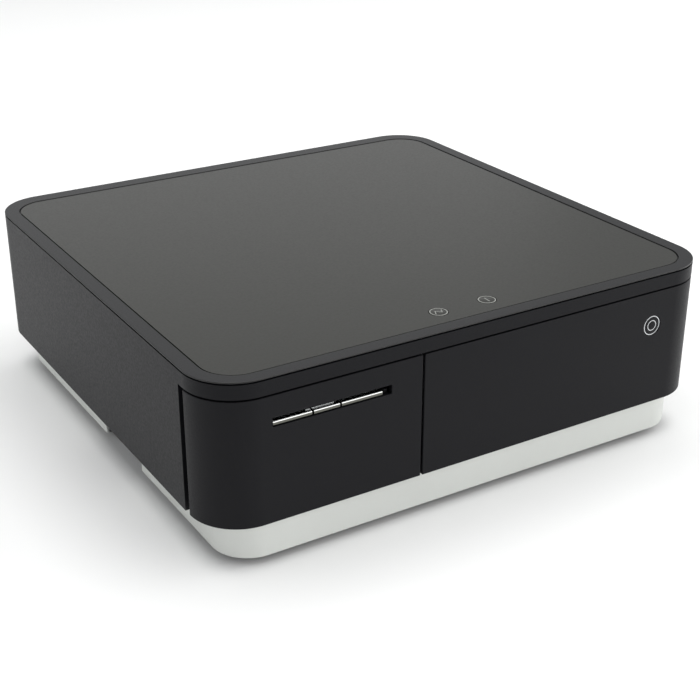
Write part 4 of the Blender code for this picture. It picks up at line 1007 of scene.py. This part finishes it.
low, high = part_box("ejector_spring")
SPRING_WIRE = 0.0006
spring_r = (high.x - low.x) / 2 - SPRING_WIRE
values = {"Turns": 5.0, "Radius": spring_r, "Length": high.y - low.y - 2 * SPRING_WIRE,
          "Wire radius": SPRING_WIRE, "Finish": satin_chrome}
spring = from_tree("ejector_coil", spring_tree(), bpy.data.meshes.new("spring_start"), values,
                   satin_chrome)
middle = (low + high) / 2
place = Matrix.Translation((middle.x, low.y + SPRING_WIRE, middle.z))
spring.data.transform(place @ Matrix.Rotation(-math.pi / 2, 4, "X"))
stands_for(spring, "ejector_spring")

# ---------------------------------------------------------------- gear train
# Acetal gears of module 1 between the motor and the platen, each with a hub and a thinned web.
# The motor's pinion is plated steel on a short shaft.
MODULE = 0.001
BACKLASH = 0.00015


def prism(axis, outline, ends):
    """A flat outline run along X or Y. Its pairs are (y, z) along X and (x, z) along Y."""
    shape = bmesh.new()
    place = {"X": lambda u, v: (ends[0], u, v), "Y": lambda u, v: (u, ends[0], v)}[axis]
    face = shape.faces.new([shape.verts.new(place(u, v)) for u, v in outline])
    grown = bmesh.ops.extrude_face_region(shape, geom=[face])
    run = Vector((ends[1] - ends[0], 0, 0)) if axis == "X" else Vector((0, ends[1] - ends[0], 0))
    moved = [item for item in grown["geom"] if isinstance(item, bmesh.types.BMVert)]
    bmesh.ops.translate(shape, vec=run, verts=moved)
    bmesh.ops.recalc_face_normals(shape, faces=shape.faces)
    return shape


def tooth_ring(teeth, phase, centre):
    """The outline of a spur gear with curved flanks, about a centre."""
    pitch_r = MODULE * teeth / 2
    half_pitch = math.pi / (2 * teeth) - BACKLASH / pitch_r / 2
    flank = ((-1.15, 1.45), (-0.75, 1.3), (0.0, 0.95), (0.45, 0.74), (0.85, 0.45))
    half = [(pitch_r + MODULE * rise, share) for rise, share in flank]
    points = []
    for tooth in range(teeth):
        middle = phase + 2 * math.pi * tooth / teeth
        for radius, share in [(r, -s) for r, s in half] + half[::-1]:
            angle = middle + share * half_pitch
            points.append((centre[0] + radius * math.cos(angle),
                           centre[1] + radius * math.sin(angle)))
    return points


def ring_cut(x, centre, r_in, r_out, depth):
    """A ring-shaped cutter about X, for a gear's thinned web."""
    ring = turned("web_cut", [(r_in, -depth), (r_in, depth), (r_out, depth), (r_out, -depth),
                              (r_in, -depth)], (x, *centre), "X", natural_acetal)
    shape = bmesh.new()
    shape.from_mesh(ring.data)
    bpy.data.meshes.remove(ring.data)
    return shape


def gear(node, teeth, phase, bore_r, finish):
    low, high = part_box(node)
    gear_low, gear_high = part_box("idler_gear")
    ends = (gear_low.x, gear_high.x)
    centre = axis_of[node]
    wheel = prism("X", tooth_ring(teeth, phase, centre), ends)
    root = MODULE * teeth / 2 - 1.15 * MODULE
    cuts = []
    joins = []
    if bore_r:
        cuts.append(rod("X", ((ends[0] + ends[1]) / 2, *centre), bore_r, 0.1, 48))
        for x in ends:
            cuts.append(ring_cut(x, centre, bore_r + 0.0014, root - 0.001, 0.0011))
    else:
        joins.append(rod("X", ((low.x + ends[0]) / 2 + 0.001, *centre), 0.001,
                         ends[0] - low.x + 0.002, 32))
    wheel = finished(node + "_wheel", wheel, finish, cuts, joins, edge=0.0001, edge_steps=2)
    stands_for(wheel, node)


shaft = middle_of("platen_shaft")
motor = middle_of("paper_motor")
IDLER_MESH = MODULE * (16 + 24) / 2 + BACKLASH
axis_of = {
    "platen_gear": (shaft.y, shaft.z),
    "idler_gear": (shaft.y + IDLER_MESH, shaft.z),
    "motor_pinion": (motor.y, motor.z),
}
gear("platen_gear", 16, 0.0, 0.0023, natural_acetal)
gear("idler_gear", 24, math.pi / 24, 0.0021, natural_acetal)
gear("motor_pinion", 10, math.pi - math.radians(30), 0, satin_chrome)

# ---------------------------------------------------------------- platen
# A ground rubber sleeve on a steel shaft that turns in two acetal bushes. A spring clip holds
# the shaft at its free end.
# Platen rubber: dark grey and matt, ground round so fine rings run about it.
roller_rubber = grained("grey_platen_rubber", "#3b3b3d", 0.75, 0.5, 0.02, 0.3)


def sleeve(name, node, bore_r, chamfer, finish, steps):
    """A turned tube about X with chamfered ends, in its CAD node's place."""
    low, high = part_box(node)
    half = (high.x - low.x) / 2
    r = (high.z - low.z) / 2
    made = turned(
        name,
        [(bore_r, half), (r - chamfer, half), (r, half - chamfer), (r, -half + chamfer),
         (r - chamfer, -half), (bore_r, -half), (bore_r, half)],
        (low + high) / 2, "X", finish, steps,
    )
    stands_for(made, node)


sleeve("platen_sleeve", "platen_roller", 0.0023, 0.0004, roller_rubber, 64)
pin("platen_spindle", "platen_shaft", "X", 0, satin_chrome)
for side in ("left", "right"):
    sleeve("bush_" + side, "platen_bush_" + side, 0.0021, 0.0002, natural_acetal, 40)

# ---------------------------------------------------------------- thermal print head
# Aluminium bar with a glazed ceramic strip below and cooling fins above. It presses on the
# platen and lifts a little for the paper.
# Die-cast aluminium: pale grey, blasted, softly metallic.
cast_aluminium = grained("blasted_aluminium", "#a9acae", 0.48, 0.6, 0.02, 0.5, 1.0, 0.05)
# Glazed ceramic: cream white and glossy.
glazed_ceramic = grained("glazed_ceramic", "#dcd6c4", 0.16, 2.0, 0.004, 0.5)
low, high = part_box("print_head")
CERAMIC_T = 0.0006
HEAD_PLATE = 0.0024
FIN_T = 0.0009
FINS = 20
FIN_INSET = 0.002
ceramic_top = low.z + CERAMIC_T
plate = finished(
    "print_head_plate",
    box((low.x, high.x), (low.y, high.y), (ceramic_top, ceramic_top + HEAD_PLATE)),
    cast_aluminium, edge=0.0003,
)
stands_for(plate, "print_head")
strip = finished(
    "print_head_ceramic",
    box((low.x + 0.001, high.x - 0.001), (low.y + 0.001, high.y - 0.004), (low.z, ceramic_top)),
    glazed_ceramic, edge=0.0002,
)
rides(strip, "print_head")
fin_z = (ceramic_top + HEAD_PLATE - 0.0001, high.z)
fin = finished(
    "fin", box((-FIN_T / 2, FIN_T / 2), (low.y + 0.0008, high.y - 0.0008), fin_z), cast_aluminium,
    edge=0.00015, edge_steps=2,
)
fin.modifiers.clear()
fin_pitch = (high.x - low.x - 2 * FIN_INSET) / (FINS - 1)
repeated("print_head_fins", cast_aluminium, fin, [(low.x + FIN_INSET, 0, 0)], FINS,
         (fin_pitch, 0, 0), "print_head")

# ---------------------------------------------------------------- tear bar
# Hardened steel strip ahead of the head, its lower edge cut into teeth a millimetre apart.
low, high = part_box("tear_bar")
TEETH = 58
TOOTH_DEEP = 0.0008
tooth = (high.x - low.x) / TEETH
outline = [(low.x, high.z)]
for index in range(TEETH):
    x = low.x + index * tooth
    outline += [(x, low.z + TOOTH_DEEP), (x + tooth / 2, low.z)]
outline += [(high.x, low.z + TOOTH_DEEP), (high.x, high.z)]
blade = finished("tear_blade", prism("Y", outline, (low.y, high.y)), satin_chrome, edge=0)
stands_for(blade, "tear_bar")

# ---------------------------------------------------------------- roll bucket and runners
# The paper roll lies in a round-bottomed ABS bucket behind the cover. Ribs beside it slide in
# two acetal guides fixed to the chassis.
softened("roll_bucket", inner_black, 0.0003, 3)
for side in ("left", "right"):
    softened("printer_guide_" + side, natural_acetal, 0.0002)

# ---------------------------------------------------------------- paper motor
# A small can-type stepping motor: two pressed steel cups with a seam, a mounting flange and a
# white plug for its leads.
low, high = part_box("paper_motor")
half = (high.x - low.x) / 2
r = (high.z - low.z) / 2
# Half section of the can: the front boss, the flange step, two cups with a seam, the rear cap.
cup_r = r - 0.0006
can = turned(
    "motor_can",
    [(0, half), (0.004, half), (0.0042, half - 0.0003), (r - 0.0022, half - 0.0003),
     (r - 0.0022, half - 0.0012), (r - 0.0012, half - 0.0012), (cup_r, half - 0.0018),
     (cup_r, 0.0003), (r - 0.0009, 0), (cup_r, -0.0003), (cup_r, -half + 0.0008),
     (r - 0.0014, -half), (0.003, -half), (0.0028, -half + 0.0004), (0, -half + 0.0004)],
    (low + high) / 2, "X", zinc_steel, 64,
)
stands_for(can, "paper_motor")
PLUG_IN = 0.0015
PLUG_OUT = 0.0045
PLUG_HALF = 0.004
middle = (low + high) / 2
plug = finished(
    "motor_plug",
    box((low.x + 0.003, high.x - 0.003), (high.y - PLUG_IN, high.y + PLUG_OUT),
        (middle.z - PLUG_HALF, middle.z + PLUG_HALF)),
    natural_acetal, edge=0.0003,
)
rides(plug, "enclosure")

# ---------------------------------------------------------------- boards
# Glass-fibre boards with a green solder mask. The main one carries the processor, the motor
# driver, capacitors, resistors, lead plugs and the sockets at the rear.
# Solder mask: deep green and glossy, with raised tracks about 1.5 mm apart.
board_green, tree, shader = new_material("green_solder_mask")
place = add(tree, "ShaderNodeTexCoord").outputs["Object"]
tracks = add(tree, "ShaderNodeTexBrick", [("Vector", place)], Scale=1000 / 6.0)
tracks.inputs["Mortar Size"].default_value = 0.03
tracks.inputs["Color1"].default_value = linear("#1d5439")
tracks.inputs["Color2"].default_value = linear("#174730")
tracks.inputs["Mortar"].default_value = linear("#2a6b4b")
bump = add(tree, "ShaderNodeBump", [("Height", tracks.outputs["Fac"])], Distance=0.00004)
weave = add(tree, "ShaderNodeTexNoise", [("Vector", place)], Scale=1000 / 0.8)
gloss = add(tree, "ShaderNodeMapRange", [("Value", weave.outputs["Fac"])], To_Min=0.2, To_Max=0.38)
wired(tree, shader, tracks.outputs["Color"], gloss, bump)
# Epoxy moulding of chips: charcoal, finely blasted.
chip_epoxy = grained("black_epoxy_moulding", "#1e1f21", 0.55, 0.4, 0.01, 0.4)

for node in ("main_board", "button_board"):
    softened(node, board_green, 0.00015)
board_low, board_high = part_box("main_board")
board_mid = middle_of("main_board")
top = board_high.z


def on_board(name, x, y, width, depth, height, finish, slot, edge=0.0002):
    made = finished(
        name, box((x - width / 2, x + width / 2), (y - depth / 2, y + depth / 2),
                  (top, top + height)), finish, edge=edge,
    )
    rides(made, "enclosure")


# Each chip: its place from the middle of the board, its side and its height.
chips = (("processor", -0.008, -0.02, 0.014, 0.0014), ("motor_driver", -0.028, 0.008, 0.009, 0.0016),
         ("memory_chip", 0.016, -0.012, 0.008, 0.0012))
LEGS = 8
LEG_WIDE = 0.00035
LEG_LONG = 0.0016
for name, dx, dy, size, height in chips:
    on_board(name, board_mid.x + dx, board_mid.y + dy, size, size, height, chip_epoxy,
             "black_plastic")
for name, dx, dy, size, height in chips:
    x, y = board_mid.x + dx, board_mid.y + dy
    reach = size / 2 + LEG_LONG / 2
    step = size * 0.8 / (LEGS - 1)
    rows = (
        ("across", LEG_WIDE, LEG_LONG, [(x - size * 0.4, y + s * reach, top) for s in (-1, 1)],
         (step, 0, 0)),
        ("along", LEG_LONG, LEG_WIDE, [(x + s * reach, y - size * 0.4, top) for s in (-1, 1)],
         (0, step, 0)),
    )
    for axis, wide, deep, starts, pitch in rows:
        leg = loose("leg", box((-wide / 2, wide / 2), (-deep / 2, deep / 2), (0, 0.0004)))
        repeated(f"{name}_legs_{axis}", satin_chrome, leg, starts, LEGS, pitch)
RESISTOR = (0.0016, 0.0008, 0.0005)
RESISTOR_STEP = 0.0028
ROW_STEP = 0.003
part = finished(
    "resistor",
    box((-RESISTOR[0] / 2, RESISTOR[0] / 2), (-RESISTOR[1] / 2, RESISTOR[1] / 2), (0, RESISTOR[2])),
    chip_epoxy, edge=0.0001, edge_steps=1,
)
part.modifiers.clear()
repeated(
    "board_resistors", chip_epoxy, part,
    [(board_low.x + 0.008, board_low.y + 0.012 + row * ROW_STEP, top) for row in range(5)]
    + [(board_mid.x + 0.006, board_high.y - 0.040 + row * ROW_STEP, top) for row in range(4)],
    9, (RESISTOR_STEP, 0, 0),
)
CAN_R = 0.003
CAN_H = 0.0078
can = turned(
    "capacitor",
    [(0, CAN_H), (CAN_R - 0.0004, CAN_H), (CAN_R, CAN_H - 0.0004), (CAN_R, 0.0016),
     (CAN_R - 0.0002, 0.0012), (CAN_R, 0.0008), (CAN_R, 0), (0, 0)],
    (0, 0, 0), "Z", satin_chrome, 24,
)
repeated("board_capacitors", satin_chrome, can,
         [(board_low.x + 0.012, board_high.y - 0.030, top),
          (board_mid.x + 0.020, board_mid.y + 0.016, top)], 3, (0.008, 0, 0))
LEAD_PLUG = (0.012, 0.0055, 0.006)
for index, dx in enumerate((-0.034, -0.016, 0.004)):
    on_board(f"lead_plug_{index + 1}", board_mid.x + dx, board_low.y + 0.005, *LEAD_PLUG,
             natural_acetal, "white_plastic", 0.0003)

# ---------------------------------------------------------------- sockets at the rear
# A barrel inlet for power and two data sockets, each a folded shell or moulding soldered to the
# main board, with its tongue or pin inside.
softened("dc_inlet", inner_black, 0.0002)
for node in ("usb_device_socket", "usb_host_socket"):
    softened(node, zinc_steel, 0.00015)
INLET_PIN = 0.0075
PIN_BACK = 0.0088
low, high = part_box("dc_inlet")
middle = (low + high) / 2
# Its heights are below zero, so that it points out of the socket.
inlet_pin = turned(
    "inlet_pin",
    [(0, 0), (0.001, 0), (0.001, 0.0006 - INLET_PIN), (0.0006, -INLET_PIN), (0, -INLET_PIN)],
    (middle.x, high.y - PIN_BACK, middle.z), "Y", satin_chrome, 24,
)
rides(inlet_pin, "enclosure")
CONTACT_T = 0.0001
for node, share, lift in (("usb_device_socket", 0.45, 0.0), ("usb_host_socket", 0.3, 0.0008)):
    low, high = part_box(node)
    middle = (low + high) / 2
    half = (high.z - low.z) * share / 2
    under = middle.z + lift - half
    tongue = finished(
        node + "_tongue",
        box((low.x + 0.0024, high.x - 0.0024), (high.y - 0.0090, high.y - 0.0012),
            (under, middle.z + lift + half)),
        natural_acetal, edge=0.0002,
    )
    rides(tongue, "enclosure")
    contact = loose("contact", box((-0.0005, 0.0005), (high.y - 0.0085, high.y - 0.0018),
                                   (-CONTACT_T / 2, CONTACT_T / 2)))
    repeated(node + "_contacts", satin_chrome, contact,
             [(low.x + 0.0035, 0, under - CONTACT_T / 2)], 4,
             ((high.x - low.x - 0.007) / 3, 0, 0))
